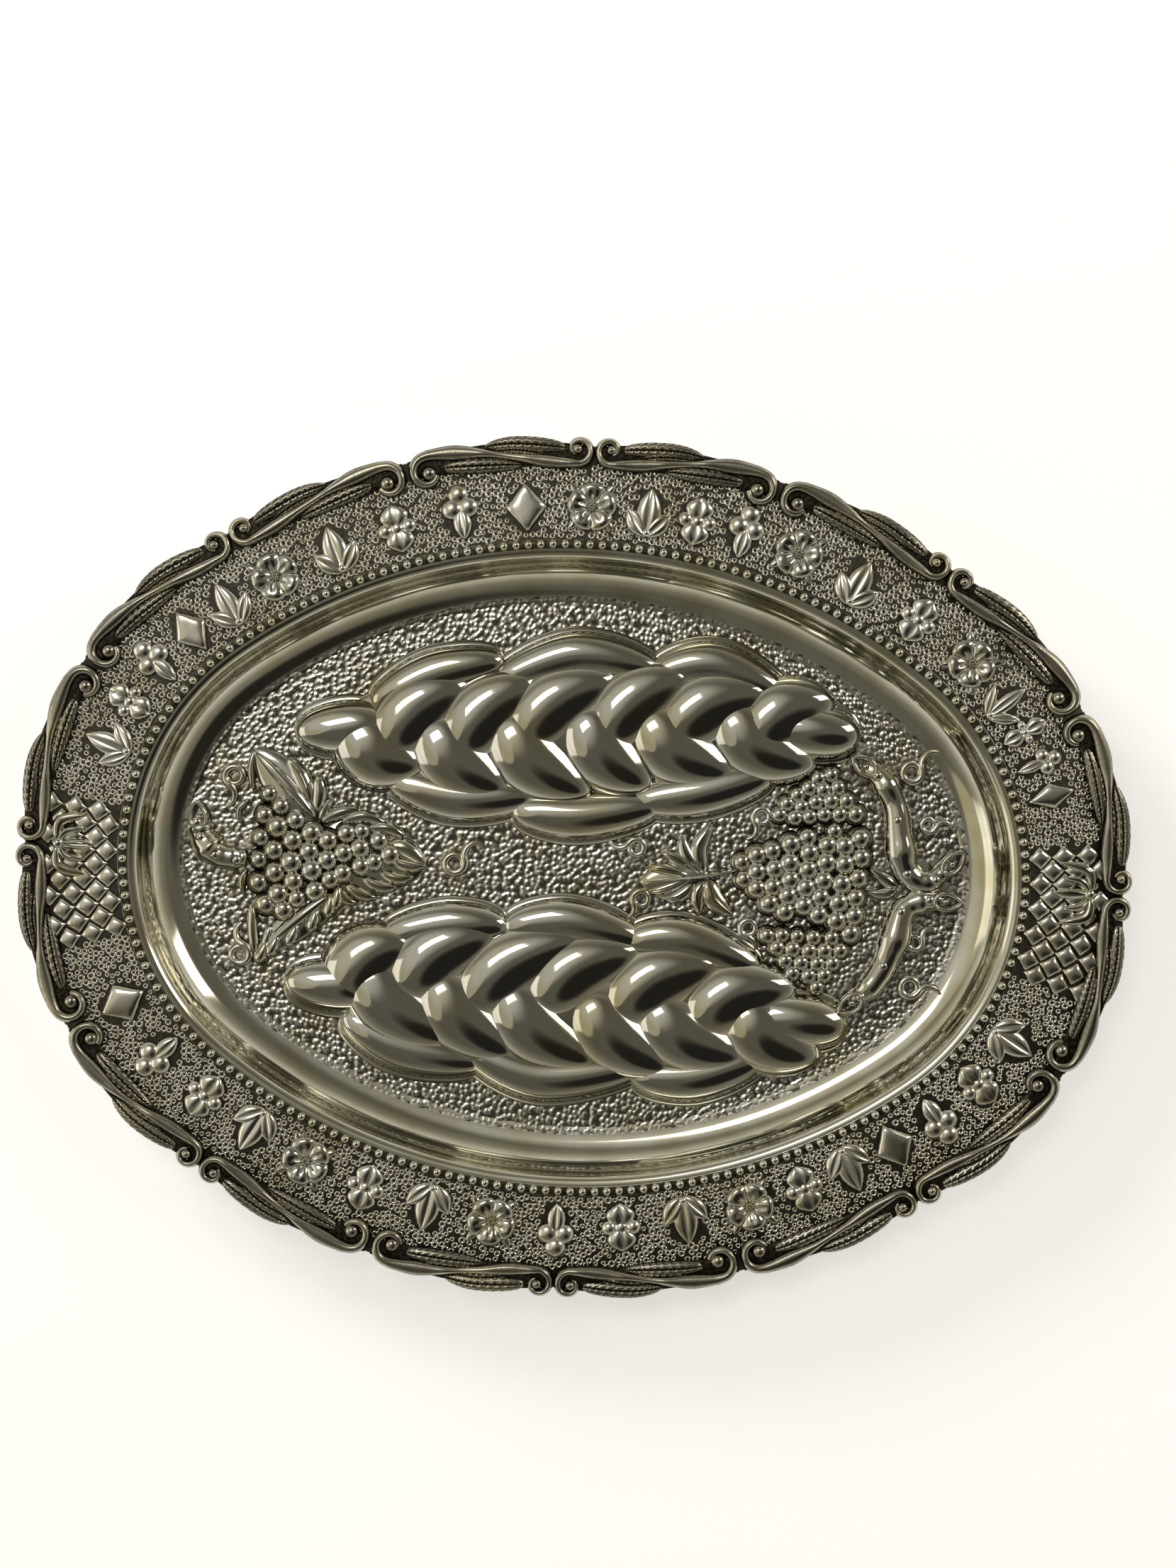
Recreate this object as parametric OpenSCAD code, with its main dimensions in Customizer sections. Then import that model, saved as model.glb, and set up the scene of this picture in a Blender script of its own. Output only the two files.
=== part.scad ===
// Oval silver tray for two plaited loaves: a raised sheet with a beaded well, a cast scroll
// border in sixteen lengths, two plaited loaves, vines and rim ornaments in high relief.
// The tray lies flat, its long side along X. The origin is under the middle of the floor.

/* [Sheet] */
// Thickness of the silver sheet
sheet_t = 1.2; // [0.8:0.1:1.6]
// Half the length of the beaded oval
bead_a = 164; // [160:1:172]
// Half the width of the beaded oval
bead_b = 117.5; // [115:0.5:122]
// Radius of the oval's round ends
end_r = 94; // [88:1:98]
// Depth of the well, from the rim down to the floor
well_depth = 16; // [12:0.5:17]
// Width of the cove between the floor and the rim
cove_w = 18; // [17.5:0.5:19]
// Radius of the rolled lip at the top of the cove
lip_r = 3; // [2:0.5:5]
// Flat between the rolled lip and the middle of the beads
lip_gap = 2; // [2:0.25:4]
// Width of the rim, from the beads to the edge of the sheet
rim_w = 35.5; // [34:0.5:37]

/* [Beads] */
// Number of beads round the well
bead_count = 200; // [160:4:208]
// Diameter of a bead
bead_d = 3.2; // [2.4:0.1:3.4]
// How far the strip under the beads shows on each side of them
bead_margin = 0.2; // [0.1:0.05:0.4]
// Height of that strip
bead_strip_h = 0.6; // [0.4:0.1:1.2]

/* [Scroll border] */
// Middle line of the border, outward from the beads
border_line = 32; // [31:0.5:33]
// Width of the scrolled rail
rail_w = 3.2; // [2.4:0.1:3.4]
// Height of the rail above the rim
rail_h = 3.2; // [2:0.1:5]
// Radius at which the small outer curls start
small_curl_r = 5; // [4.6:0.1:5.2]
// Radius at which the large inner curls start
large_curl_r = 6; // [5.2:0.1:6.4]
// Gap left at each soldered joint between two lengths
joint_gap = 0.3; // [0.1:0.05:0.6]
// Length of a border leaf
border_leaf_l = 21; // [16:0.5:23]
// Width of a border leaf
border_leaf_w = 5; // [3:0.25:6]
// Height of a border leaf
border_leaf_h = 2.2; // [1:0.1:3]

/* [Loaves] */
// Length of a loaf
loaf_l = 209; // [196:1:212]
// Width of a loaf
loaf_w = 74; // [66:0.5:75]
// Height of a loaf above the floor
loaf_h = 9.5; // [6:0.25:12]
// Space left for the vines between the two loaves
loaf_space = 25; // [24:0.5:28]
// Slant of each loaf against the long side of the tray
loaf_slant = 2.2; // [0:0.1:2.6]
// Pairs of strands that cross along the top of a loaf
strand_pairs = 6; // [4:1:6]
// Width of a strand at its round head
strand_w = 22; // [18:0.5:23]
// Width of a strand at its tail
tail_w = 9; // [5:0.5:12]
// Distance along the loaf from a strand's head to its tail
strand_l = 29; // [22:0.5:31]
// How far the strands of one row lead those of the other
strand_stagger = 11.5; // [6:0.5:13]
// Distance from the left tip of the loaf to the first strand
loaf_left = 24; // [20:0.5:28]
// Distance from the last strand to the right tip of the loaf
loaf_right = 48; // [44:0.5:54]
// Lower strands seen along each edge of a loaf
edge_strands = 3; // [2:1:4]
// Width of an edge strand
edge_w = 15; // [10:0.5:16]
// Width of the ledge round the loaf
ledge_w = 1.8; // [0.5:0.1:2.4]
// Height of that ledge
ledge_h = 1; // [0.4:0.1:1.6]

/* [Grapes and vines] */
// Diameter of a grape in the two large bunches
grape_d = 6.2; // [4.5:0.1:6.4]
// Distance between grapes in the two large bunches
grape_pitch = 6.6; // [6.5:0.05:6.8]
// Diameter of a grape in the two small bunches
small_grape_d = 4.8; // [3.5:0.1:5]
// Distance between grapes in the two small bunches
small_grape_pitch = 5.2; // [5.1:0.05:5.4]
// Height of the backing under the grapes
bunch_h = 1.6; // [1:0.1:3]
// Height of a vine leaf
leaf_h = 2.6; // [1.2:0.1:4]
// Width of a woody branch at its thick end
branch_w = 5.6; // [3:0.1:6]
// Height of a woody branch
branch_h = 4; // [2:0.1:5]
// Radius of a tendril's ring
tendril_r = 2.6; // [1.8:0.1:2.8]
// Thickness of a tendril
tendril_w = 1.2; // [0.8:0.1:1.4]
// Clearance between neighbouring pieces of relief
relief_gap = 0.3; // [0.1:0.05:0.5]

/* [Rim ornaments] */
// Middle line of the ornaments, outward from the beads
band_line = 13.5; // [12.5:0.25:14.5]
// Height of a rim ornament, measured across the rim
motif_l = 17; // [12:0.5:18]
// How far a rim ornament stands above the rim
motif_h = 1.6; // [0.8:0.1:2.6]
// Radius of a flower, to the tip of its petals
flower_r = 7.4; // [5:0.1:8]
// Height of a flower's petals
petal_h = 1.8; // [1:0.1:2.6]
// Distance between the lozenges of the lattice
lattice_pitch = 5.2; // [4.4:0.1:6]
// Clear space between two lozenges
lattice_gap = 1; // [0.5:0.1:1.6]
// Rows of lozenges across the rim
lattice_rows = 4; // [3:1:4]
// Length of the posy in the middle of each lattice
posy_l = 12; // [9:0.5:13]

/* [Hidden] */
$fn = 64;
border_sections = 16;
// The oval is drawn from four centres: two for the ends, two for the long sides
end_x = bead_a - end_r;
side_y = (pow(end_x, 2) - pow(bead_b - end_r, 2)) / (2 * (bead_b - end_r));
side_r = bead_b + side_y;
side_half = atan2(end_x, side_y);
// The cove is a hollow arc that turns over into the rolled lip
floor_line = -(lip_gap + cove_w);
cove_turn = 2 * atan(well_depth / cove_w);
cove_r = cove_w / sin(cove_turn) - lip_r;
cove_steps = 8;
lip_steps = 5;
floor_z = sheet_t;
rim_z = well_depth + sheet_t;
// Where the floor plate and the swept cove share the flat, inward from the cove's foot
flange_w = 6;
// Rim places are counted in border sections, clockwise from the top of the oval
flower_places = [0, 1.3, 2.55, 6.8, 8.4, 9.6, 14];
lattice_places = [4.15, 11.85];
lattice_span = 0.82;
posy_places = [4, 12];
flower_span = 0.4;
// Each run of rim ornaments: where it starts, where it ends and how many it holds
motif_runs = [
    [flower_places[0], flower_places[1], 3],
    [flower_places[1], flower_places[2], 2],
    [flower_places[2], lattice_places[0] - lattice_span / 2, 4],
    [lattice_places[0] + lattice_span / 2, flower_places[3], 6],
    [flower_places[3], flower_places[4], 3],
    [flower_places[4], flower_places[5], 2],
    [flower_places[5], lattice_places[1] - lattice_span / 2, 4],
    [lattice_places[1] + lattice_span / 2, flower_places[6], 5],
    [flower_places[6], 16, 4]
];
// Relief on the floor is placed from the tips of the loaves, and the vines share out the room
// that is left between those tips and the ends of the floor
loaf_y = (loaf_space + loaf_w) / 2;
loaf_tip = loaf_l / 2;
vine_room = bead_a + floor_line - loaf_tip;
// Grape bunches: each row across the bunch as [number of grapes, shift of the row]
left_rows = [[5, 0], [6, 0], [5, 0], [4, 0], [3, 0], [2, 0], [3, 0], [2, 0], [1, 0]];
right_rows = [[2, 0], [3, 0], [4, 0], [5, 0], [5, -0.5], [5, 0], [5, -0.5], [6, -0.5]];
upper_rows = [[2, 0], [3, 0], [4, 0], [5, 0]];
lower_rows = [[5, 0], [4, 1], [3, 1]];
// Radius of the backing round one grape, as a share of the pitch: enough to close the honeycomb
grape_cell = 0.6;
// Bunches lie by the tips of the loaves, and the small ones just clear the large one
grape_room = grape_cell * (grape_pitch + small_grape_pitch) + relief_gap;
left_bunch_at = [-loaf_tip - 0.29 * vine_room, -1.5, 0];
right_bunch_at = [loaf_tip - 42.5, 1, 0];
upper_bunch_at = [loaf_tip - 12.5,
    right_bunch_at[1] + 2 * grape_pitch + grape_room + 3 * small_grape_pitch * sin(60), -90];
lower_bunch_at = [
    right_bunch_at[0] + (len(right_rows) - 1) * grape_pitch * sin(60) - 2 * small_grape_pitch - 6.2,
    right_bunch_at[1] - 2.5 * grape_pitch - grape_room, -90];
// Woody branches, from the cut end along the middle line: share of the room, place across
function in_vine_room(points, way) = [for (p = points) [way * (loaf_tip + p[0] * vine_room), p[1]]];
left_stem_path = in_vine_room([[0.87, 11], [0.9, 4.5], [0.785, -1], [0.6, -3], [0.415, -3]], -1);
upper_branch_path = in_vine_room(
    [[0.05, 42.5], [0.2, 37.5], [0.32, 26], [0.355, 13], [0.495, 2.5], [0.685, 3], [0.85, 8.5]], 1);
lower_branch_path = in_vine_room(
    [[0.825, -6.5], [0.62, -7.5], [0.42, -10.5], [0.33, -23], [0.24, -35], [0.125, -42.5], [-0.025, -45.5]], 1);
// Tendrils: where the ring lies and which way its tail leaves
function outer_tendrils(points, way) = [for (p = points) [way * (loaf_tip + p[0] * vine_room), p[1], p[2]]];
left_tendrils = concat(
    outer_tendrils([[0.57, 27, 60], [0.47, -38.5, 250]], -1),
    [[-loaf_tip + 60, -1, 200]]
);
// The bottom left leaf runs from its root to just short of the tendril's ring beyond its tip
bottom_leaf_at = [-loaf_tip + 17.5, -17.5, 217];
bottom_leaf_gap = 6;
bottom_leaf_l = norm([for (i = [0, 1]) left_tendrils[1][i] - bottom_leaf_at[i]]) - bottom_leaf_gap;
right_tendrils = concat(
    [[loaf_tip - 81.5, 7.5, 330], [loaf_tip - 79, -11, 30]],
    [[loaf_tip - 36.5, 21, 40], [loaf_tip - 42.5, -16, 80]],
    outer_tendrils([[0.43, 40.5, 200], [0.63, 21.5, 160], [0.57, -22.5, 200], [0.53, -38.5, 150]], 1)
);
border_names = [for (i = [1 : border_sections]) str("border_section_", i)];
flower_names = [for (i = [1 : len(flower_places)]) str("rim_flower_", i)];
motif_names = [for (i = [1 : len(motif_runs)]) str("rim_ornaments_", i)];

// Length of a quarter of the oval that runs a given distance outside the beads
function side_length(line) = (side_r + line) * side_half * PI / 180;
function quarter(line) = side_length(line) + (end_r + line) * (90 - side_half) * PI / 180;

// The angle from +Y that faces outward, and the point, within the first quarter of the oval
function facing(s, line) = s < side_length(line)
    ? s / (side_r + line) * 180 / PI
    : side_half + (s - side_length(line)) / (end_r + line) * 180 / PI;
function quarter_point(turn, out) = turn < side_half
    ? [(side_r + out) * sin(turn), (side_r + out) * cos(turn) - side_y]
    : [end_x + (end_r + out) * sin(turn), (end_r + out) * cos(turn)];

// The same anywhere on the oval: s runs clockwise from the top along the oval at that line
function wrapped(s, line) = s - floor(s / (4 * quarter(line))) * 4 * quarter(line);
function folded(s, q) = s < q ? [s, 1, 1] : s < 2 * q ? [2 * q - s, 1, -1]
    : s < 3 * q ? [s - 2 * q, -1, -1] : [4 * q - s, -1, 1];
function fold(s, line) = folded(wrapped(s, line), quarter(line));
function oval_point(s, line, out) =
    let (f = fold(s, line), p = quarter_point(facing(f[0], line), out)) [p[0] * f[1], p[1] * f[2]];
function oval_facing(s, line) =
    let (f = fold(s, line), turn = facing(f[0], line)) atan2(cos(turn) * f[2], sin(turn) * f[1]);
function place_length(line) = 4 * quarter(line) / border_sections;

// A smooth step from 0 to 1
function ease(t) = t * t * (3 - 2 * t);

// A point on a smooth curve through the points of a path, t from 0 to 1
function path_at(path, t) =
    let (n = len(path) - 1, i = min(floor(t * n), n - 1), f = t * n - i)
    let (p0 = path[max(i - 1, 0)], p1 = path[i], p2 = path[i + 1], p3 = path[min(i + 2, n)])
    0.5 * (2 * p1 + (p2 - p0) * f + (2 * p0 - 5 * p1 + 4 * p2 - p3) * f * f
        + (3 * p1 - p0 - 3 * p2 + p3) * f * f * f);

// Puts rim relief on the rim, its Y axis outward
module on_rim(place, out) {
    s = place * place_length(0);
    p = oval_point(s, 0, out);
    translate([p[0], p[1], rim_z])
        rotate(oval_facing(s, 0) - 90)
        children();
}

// A half-round bar along a flat path, with its own width and height at each point
module ridge(path, widths, heights) {
    n = len(path);
    shoulder_out = 0.4;
    shoulder_up = 0.68;
    ring = [[-0.5, 0], [-shoulder_out, shoulder_up], [0, 1], [shoulder_out, shoulder_up], [0.5, 0]];
    m = len(ring);
    points = [
        for (i = [0 : n - 1])
        let (d = path[min(i + 1, n - 1)] - path[max(i - 1, 0)], side = [d[1], -d[0]] / norm(d))
        for (q = ring)
        [path[i][0] + side[0] * q[0] * widths[i], path[i][1] + side[1] * q[0] * widths[i], q[1] * heights[i]]
    ];
    walls = [
        for (i = [0 : n - 2], j = [0 : m - 1])
        let (a = i * m + j, b = i * m + (j + 1) % m)
        each [[a, a + m, b], [b, a + m, b + m]]
    ];
    first_cap = [for (j = [0 : m - 1]) j];
    last_cap = [for (j = [m - 1 : -1 : 0]) (n - 1) * m + j];
    polyhedron(points, concat(walls, [first_cap, last_cap]));
}

// A round-topped button on its flat base
module dome(r, h) {
    ball_r = (r * r + h * h) / (2 * h);
    rotate_extrude()
        intersection() {
            translate([0, h - ball_r])
                circle(ball_r);
            square([r, h]);
        }
}

// The outline of a pointed leaf along +X, from its stalk at the origin
module leaf_outline(length, width) {
    arc_r = (length * length + width * width) / (4 * width);
    intersection_for (side = [-1, 1])
        translate([length / 2, side * (arc_r - width / 2)])
        circle(arc_r);
}

// A pointed leaf with a raised midrib
module leaf_blade(length, width, height) {
    edge_h = 0.35 * height;
    intersection() {
        linear_extrude(height)
            leaf_outline(length, width);
        rotate([90, 0, 90])
            linear_extrude(length)
            polygon([[-width, 0], [width, 0], [width / 2, edge_h], [0, height], [-width / 2, edge_h]]);
    }
}

// The sheet's section, from the foot of the cove out to the edge of the rim
module sheet_section() {
    mid_floor = sheet_t / 2;
    mid_rim = well_depth + sheet_t / 2;
    function cove(side) = [
        for (i = [0 : cove_steps])
        let (turn = -90 + cove_turn * i / cove_steps, r = cove_r - side * sheet_t / 2)
        [floor_line + r * cos(turn), mid_floor + cove_r + r * sin(turn)]
    ];
    function lip(side) = [
        for (i = [1 : lip_steps])
        let (turn = 90 + cove_turn * (1 - i / lip_steps), r = lip_r + side * sheet_t / 2)
        [-lip_gap + r * cos(turn), mid_rim - lip_r + r * sin(turn)]
    ];
    top = concat([[floor_line - flange_w, floor_z]], cove(1), lip(1), [[rim_w, rim_z]]);
    under = concat([[floor_line - flange_w, 0]], cove(-1), lip(-1), [[rim_w, well_depth]]);
    polygon(concat(under, [for (i = [len(top) - 1 : -1 : 0]) top[i]]));
}

// Sweeps a section round the oval, its X axis measured outward from the beads
module round_the_oval() {
    for (side = [-1, 1]) {
        translate([side * end_x, 0])
            rotate_extrude(angle = 180 - 2 * side_half, start = side_half - side * 90)
            translate([end_r, 0])
            children();
        translate([0, -side * side_y])
            rotate_extrude(angle = 2 * side_half, start = side * 90 - side_half)
            translate([side_r, 0])
            children();
    }
}

module tray_sheet() {
    plate_line = floor_line - flange_w / 2;
    plate_points = 72;
    color("silver") {
        round_the_oval()
            sheet_section();
        linear_extrude(floor_z)
            polygon([
                for (i = [plate_points - 1 : -1 : 0])
                oval_point((i + 0.5) * 4 * quarter(plate_line) / plate_points, plate_line, plate_line)
            ]);
    }
}

module bead_wire() {
    color("gainsboro")
        translate([0, 0, rim_z]) {
            round_the_oval()
                translate([-bead_d / 2 - bead_margin, 0])
                square([bead_d + 2 * bead_margin, bead_strip_h]);
            for (i = [0 : bead_count - 1]) {
                p = oval_point((i + 0.5) * 4 * quarter(0) / bead_count, 0, 0);
                translate([p[0], p[1], bead_strip_h])
                    dome(bead_d / 2, bead_d / 2);
            }
        }
}

// One length of the border: an S-shaped rail between a small outer curl and a large inner curl,
// with two leaves on its outer side and two on its inner side. Every other length is mirrored.
module border_section(index) {
    run = place_length(border_line);
    start = (index - index % 2) * run + (index % 2) * 2 * run;
    way = index % 2 == 0 ? 1 : -1;
    small_at = [small_curl_r * 0.84 + rail_w * 0.42 + joint_gap / 2, border_line + small_curl_r * 0.4];
    large_at = [run - large_curl_r * 0.92 - rail_w / 2 - joint_gap / 2, border_line - large_curl_r * 0.27];
    inner_run = small_at[1] - small_curl_r;
    outer_run = large_at[1] + large_curl_r;
    small_turn = 330;
    large_turn = 245;
    curl_steps = 9;
    body_steps = 7;
    small_curl = [
        for (i = [curl_steps : -1 : 0])
        let (t = i / curl_steps, turn = -90 - small_turn * t, r = small_curl_r * (1 - 0.6 * t))
        [small_at[0] + r * cos(turn), small_at[1] + r * sin(turn), rail_w * (0.92 - 0.4 * t)]
    ];
    body = [
        for (i = [1 : body_steps])
        let (t = i / (body_steps + 1), rise = ease(t) * (outer_run - inner_run))
        [small_at[0] + t * (large_at[0] - small_at[0]), inner_run + rise, rail_w]
    ];
    large_curl = [
        for (i = [0 : curl_steps])
        let (t = i / curl_steps, turn = 90 - large_turn * t, r = large_curl_r * (1 - 0.42 * t))
        [large_at[0] + r * cos(turn), large_at[1] + r * sin(turn), rail_w * (1 - 0.3 * t)]
    ];
    line = concat(small_curl, body, large_curl);
    function on_border(p) = oval_point(start + way * p[0], border_line, p[1]);
    // Each leaf springs from the rail: how far along the run, how far out, and its angle
    middle = [(small_at[0] + large_at[0]) / 2, (inner_run + outer_run) / 2];
    leaves = [[1, 0.8, 166, 1], [5, 1.6, 167, 0.8], [-1, -0.8, -14, 1], [-6, -1.4, -16, 0.7]];
    color("darkgray")
        translate([0, 0, rim_z]) {
            ridge([for (p = line) on_border(p)], [for (p = line) p[2]], [for (p = line) rail_h * p[2] / rail_w]);
            for (leaf = leaves) {
                root = on_border([middle[0] + leaf[0], middle[1] + leaf[1]]);
                tip_way = [cos(leaf[2]), sin(leaf[2])];
                tip = on_border([middle[0] + leaf[0] + tip_way[0], middle[1] + leaf[1] + tip_way[1]]);
                translate(root)
                    rotate(atan2(tip[1] - root[1], tip[0] - root[0]))
                    leaf_blade(border_leaf_l * leaf[3], border_leaf_w, border_leaf_h);
            }
        }
}

// A rounded strand of dough through a few points, each with its own width and height
module strand(points) {
    hull()
        for (p = points)
            translate([p[0], p[1], 0])
            scale([p[2] / 2, p[2] / 2, p[3]])
            rotate_extrude($fn = 12)
            intersection() {
                circle(1, $fn = 12);
                square(1);
            }
}

// A thin ledge under the outer strands
module ledge(points) {
    hull()
        for (p = points)
            translate([p[0], p[1], 0])
            cylinder(d = p[2] + 2 * ledge_w, h = ledge_h, $fn = 20);
}

// A plaited loaf along X: two rows of strands that meet on the middle line, over longer strands
// along both edges and a round strand at each end
module loaf() {
    half_l = loaf_l / 2;
    half_w = loaf_w / 2;
    pitch = (loaf_l - loaf_left - loaf_right) / (strand_pairs - 1);
    edge_pitch = 0.72 * loaf_l / edge_strands;
    function fullness(x) = 1 - pow(min(1, abs(x) / half_l), 2.5);
    strand([[-0.66 * half_l, 0, 0.8 * half_w, loaf_h / 2], [0, 0, 1.4 * half_w, loaf_h / 2],
        [0.66 * half_l, 0, 0.8 * half_w, loaf_h / 2]]);
    for (side = [-1, 1]) {
        for (i = [0 : strand_pairs - 1]) {
            x = -half_l + loaf_left + pitch * i + (side > 0 ? strand_stagger : 0);
            tail_x = x + strand_l * (0.75 + 0.25 * fullness(x + strand_l));
            tail_y = side * 0.58 * half_w * (0.3 + 0.7 * fullness(tail_x));
            wide = strand_w * (0.68 + 0.32 * fullness(x + strand_l / 2));
            head = [x, side * 0.24 * wide, 0.72 * wide, 0.82 * loaf_h];
            tail = [tail_x, tail_y, tail_w, 0.6 * loaf_h];
            belly = [x + 0.3 * (tail_x - x), head[1] + 0.3 * (tail_y - head[1]), wide, loaf_h];
            strand([head, belly, tail]);
        }
        for (i = [0 : edge_strands - 1]) {
            x = (i - (edge_strands - 1) / 2) * edge_pitch;
            y = side * (fullness(x) * half_w - edge_w / 2 - ledge_w);
            middle = [x, y, edge_w, 0.6 * loaf_h];
            for (way = [-1, 1]) {
                far = [x + way * 0.46 * edge_pitch, 0.78 * y, 0.55 * edge_w, 0.45 * loaf_h];
                strand([middle, far]);
                ledge([middle, far]);
            }
        }
    }
    for (way = [-1, 1]) {
        tip = [way * (half_l - 0.3 * strand_w - ledge_w), 0, 0.6 * strand_w, 0.6 * loaf_h];
        root = [way * (half_l - 1.5 * strand_w), 0, strand_w, 0.75 * loaf_h];
        strand([tip, root]);
        ledge([tip, root]);
    }
}

module on_floor(x, y, turn) {
    translate([x, y, floor_z])
        rotate(turn)
        children();
}

module upper_loaf() {
    color("whitesmoke")
        on_floor(0, loaf_y, loaf_slant)
        loaf();
}

module lower_loaf() {
    color("whitesmoke")
        on_floor(0, -loaf_y, -loaf_slant)
        loaf();
}

// Where the grapes of a bunch lie: rows of grapes, nested like a honeycomb, along +X
function grape_places(rows, pitch) = [
    for (i = [0 : len(rows) - 1], j = [0 : rows[i][0] - 1])
    [i * pitch * sin(60), (j - (rows[i][0] - 1) / 2 + rows[i][1]) * pitch]
];

module bunch_outline(rows, pitch, room) {
    for (p = grape_places(rows, pitch))
        translate(p)
        circle(grape_cell * pitch + room);
}

module bunch(rows, pitch, grape) {
    linear_extrude(bunch_h)
        bunch_outline(rows, pitch, 0);
    for (p = grape_places(rows, pitch))
        translate([p[0], p[1], bunch_h])
        dome(grape / 2, grape / 2);
}

// A vine leaf along +X: a long middle lobe with pairs of shorter lobes on both sides
module vine_leaf(length, width, pairs) {
    leaf_blade(length, width * 0.62, leaf_h);
    for (i = [0 : pairs - 1], side = [-1, 1]) {
        along = length * (0.1 + 0.62 * i / max(pairs - 1, 1));
        lobe = width * (0.62 - 0.26 * i / max(pairs - 1, 1));
        translate([along, 0])
            rotate(side * 38)
            leaf_blade(lobe, lobe * 0.62, leaf_h * 0.8);
    }
}

// A vine leaf on the floor, cut back to clear a bunch of grapes that lies over it
module leaf_behind(at, length, width, pairs, bunch_at, rows, pitch) {
    difference() {
        on_floor(at[0], at[1], at[2])
            vine_leaf(length, width, pairs);
        on_floor(bunch_at[0], bunch_at[1], bunch_at[2])
            linear_extrude(leaf_h)
            bunch_outline(rows, pitch, relief_gap);
    }
}

// A woody branch that swells at its cut end and thins away from it
module branch(path) {
    steps = 4 * (len(path) - 1);
    function girth(i) = 1 - 0.25 * i / steps + 0.25 * pow(max(0, 1 - i / 3), 2);
    color("lightgray")
        on_floor(0, 0, 0)
        ridge(
            [for (i = [0 : steps]) path_at(path, i / steps)],
            [for (i = [0 : steps]) branch_w * girth(i)],
            [for (i = [0 : steps]) branch_h * girth(i)]
        );
}

// Rings of tendril, each with a short tail that curls away
module tendrils(places) {
    tail_r = 1.6 * tendril_r;
    color("lightgray")
        for (p = places)
            on_floor(p[0], p[1], p[2]) {
                rotate_extrude()
                    tendril_section(tendril_r);
                translate([-tail_r - tendril_r, 0])
                    rotate_extrude(angle = 80, start = 0)
                    tendril_section(tail_r);
            }
}

module tendril_section(r) {
    translate([r, 0])
        intersection() {
            circle(tendril_w / 2);
            translate([-tendril_w, 0])
                square([2 * tendril_w, tendril_w]);
        }
}

module left_bunch() {
    color("silver")
        on_floor(left_bunch_at[0], left_bunch_at[1], left_bunch_at[2])
        bunch(left_rows, grape_pitch, grape_d);
}

module left_leaf(at, length, width, pairs) {
    color("gainsboro")
        leaf_behind(at, length, width, pairs, left_bunch_at, left_rows, grape_pitch);
}

module right_bunch() {
    color("silver")
        on_floor(right_bunch_at[0], right_bunch_at[1], right_bunch_at[2])
        bunch(right_rows, grape_pitch, grape_d);
}

module small_bunch(at, rows) {
    color("silver")
        on_floor(at[0], at[1], at[2])
        bunch(rows, small_grape_pitch, small_grape_d);
}

module right_leaf() {
    color("gainsboro")
        on_floor(loaf_tip - 48.5, 0, 180)
        vine_leaf(28, 24, 3);
}

// The small sheaths where both branches spring, pointing at the grapes
module right_bracts() {
    color("gainsboro")
        for (side = [-1, 1])
            on_floor(loaf_tip + 0.33 * vine_room, -2.2, 180 + side * 24)
            leaf_blade(8.5, 3.4, leaf_h * 0.8);
}

// A flower with five round petals and a raised heart
module rim_flower(place) {
    petal_r = flower_r * 0.44;
    color("gainsboro")
        on_rim(place, band_line) {
            for (i = [0 : 4])
                rotate(90 + 72 * i)
                translate([flower_r - petal_r, 0])
                dome(petal_r, petal_h);
            dome(flower_r * 0.3, petal_h * 1.25);
        }
}

// Four rim ornaments, all the same on both sides of their middle line
module fleuron(width) {
    half = motif_l / 2;
    translate([0, -half])
        rotate(90)
        leaf_outline(motif_l, width * 0.38);
    for (side = [-1, 1])
        translate([0, -half])
        rotate(90 - side * 38)
        leaf_outline(motif_l * 0.62, width * 0.3);
    translate([0, -half + 1.2])
        circle(1.8);
}

module lozenge(width) {
    half = motif_l / 2;
    polygon([[-width / 2, 0], [0, -half], [width / 2, 0], [0, half]]);
}

module twin_buds(width) {
    bud_l = motif_l / 2;
    for (turn = [90, -90])
        rotate(turn)
        leaf_outline(bud_l, width * 0.34);
    for (side = [-1, 0, 1])
        translate([side * width * 0.2, 0])
        circle(width * 0.15);
}

module trefoil(width) {
    lobe_r = min(width / 4, motif_l / 5);
    for (turn = [90, 210, 330])
        translate([0.85 * lobe_r * cos(turn), lobe_r * (1 + 0.85 * sin(turn))])
        circle(lobe_r);
    translate([0, -motif_l / 2])
        rotate(90)
        leaf_outline(motif_l * 0.66, width * 0.3);
}

module rim_ornaments(run) {
    gap = flower_span / 2;
    count = run[2];
    first = run[0] + gap;
    step = (run[1] - gap - first) / count;
    width = min(step * place_length(0) - 2 * relief_gap, motif_l * 0.9);
    color("whitesmoke")
        for (i = [0 : count - 1])
            on_rim(first + step * (i + 0.5), band_line)
            linear_extrude(motif_h) {
                kind = i % 4;
                if (kind == 0) fleuron(width);
                if (kind == 1) twin_buds(width);
                if (kind == 2) trefoil(width);
                if (kind == 3) lozenge(width * 0.7);
            }
}

// Rows of lozenges on the rim, left open round the posy
module lattice(place, posy_place) {
    length = lattice_span * place_length(0);
    columns = floor(length / lattice_pitch);
    side = (lattice_pitch - lattice_gap) / sqrt(2);
    posy_from = posy_place * place_length(0);
    color("silver")
        for (row = [0 : lattice_rows - 1], i = [0 : columns - 1]) {
            s = place * place_length(0) + (i - (columns - 1) / 2 + (row % 2) / 2 - 0.25) * lattice_pitch;
            out = band_line + (row - (lattice_rows - 1) / 2) * lattice_pitch;
            clear_of_posy = abs(s - posy_from) > lattice_pitch + 1 || out < band_line - lattice_pitch;
            if (clear_of_posy)
                on_rim(s / place_length(0), out)
                rotate(45)
                translate([-side / 2, -side / 2])
                cube([side, side, motif_h]);
        }
}

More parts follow.
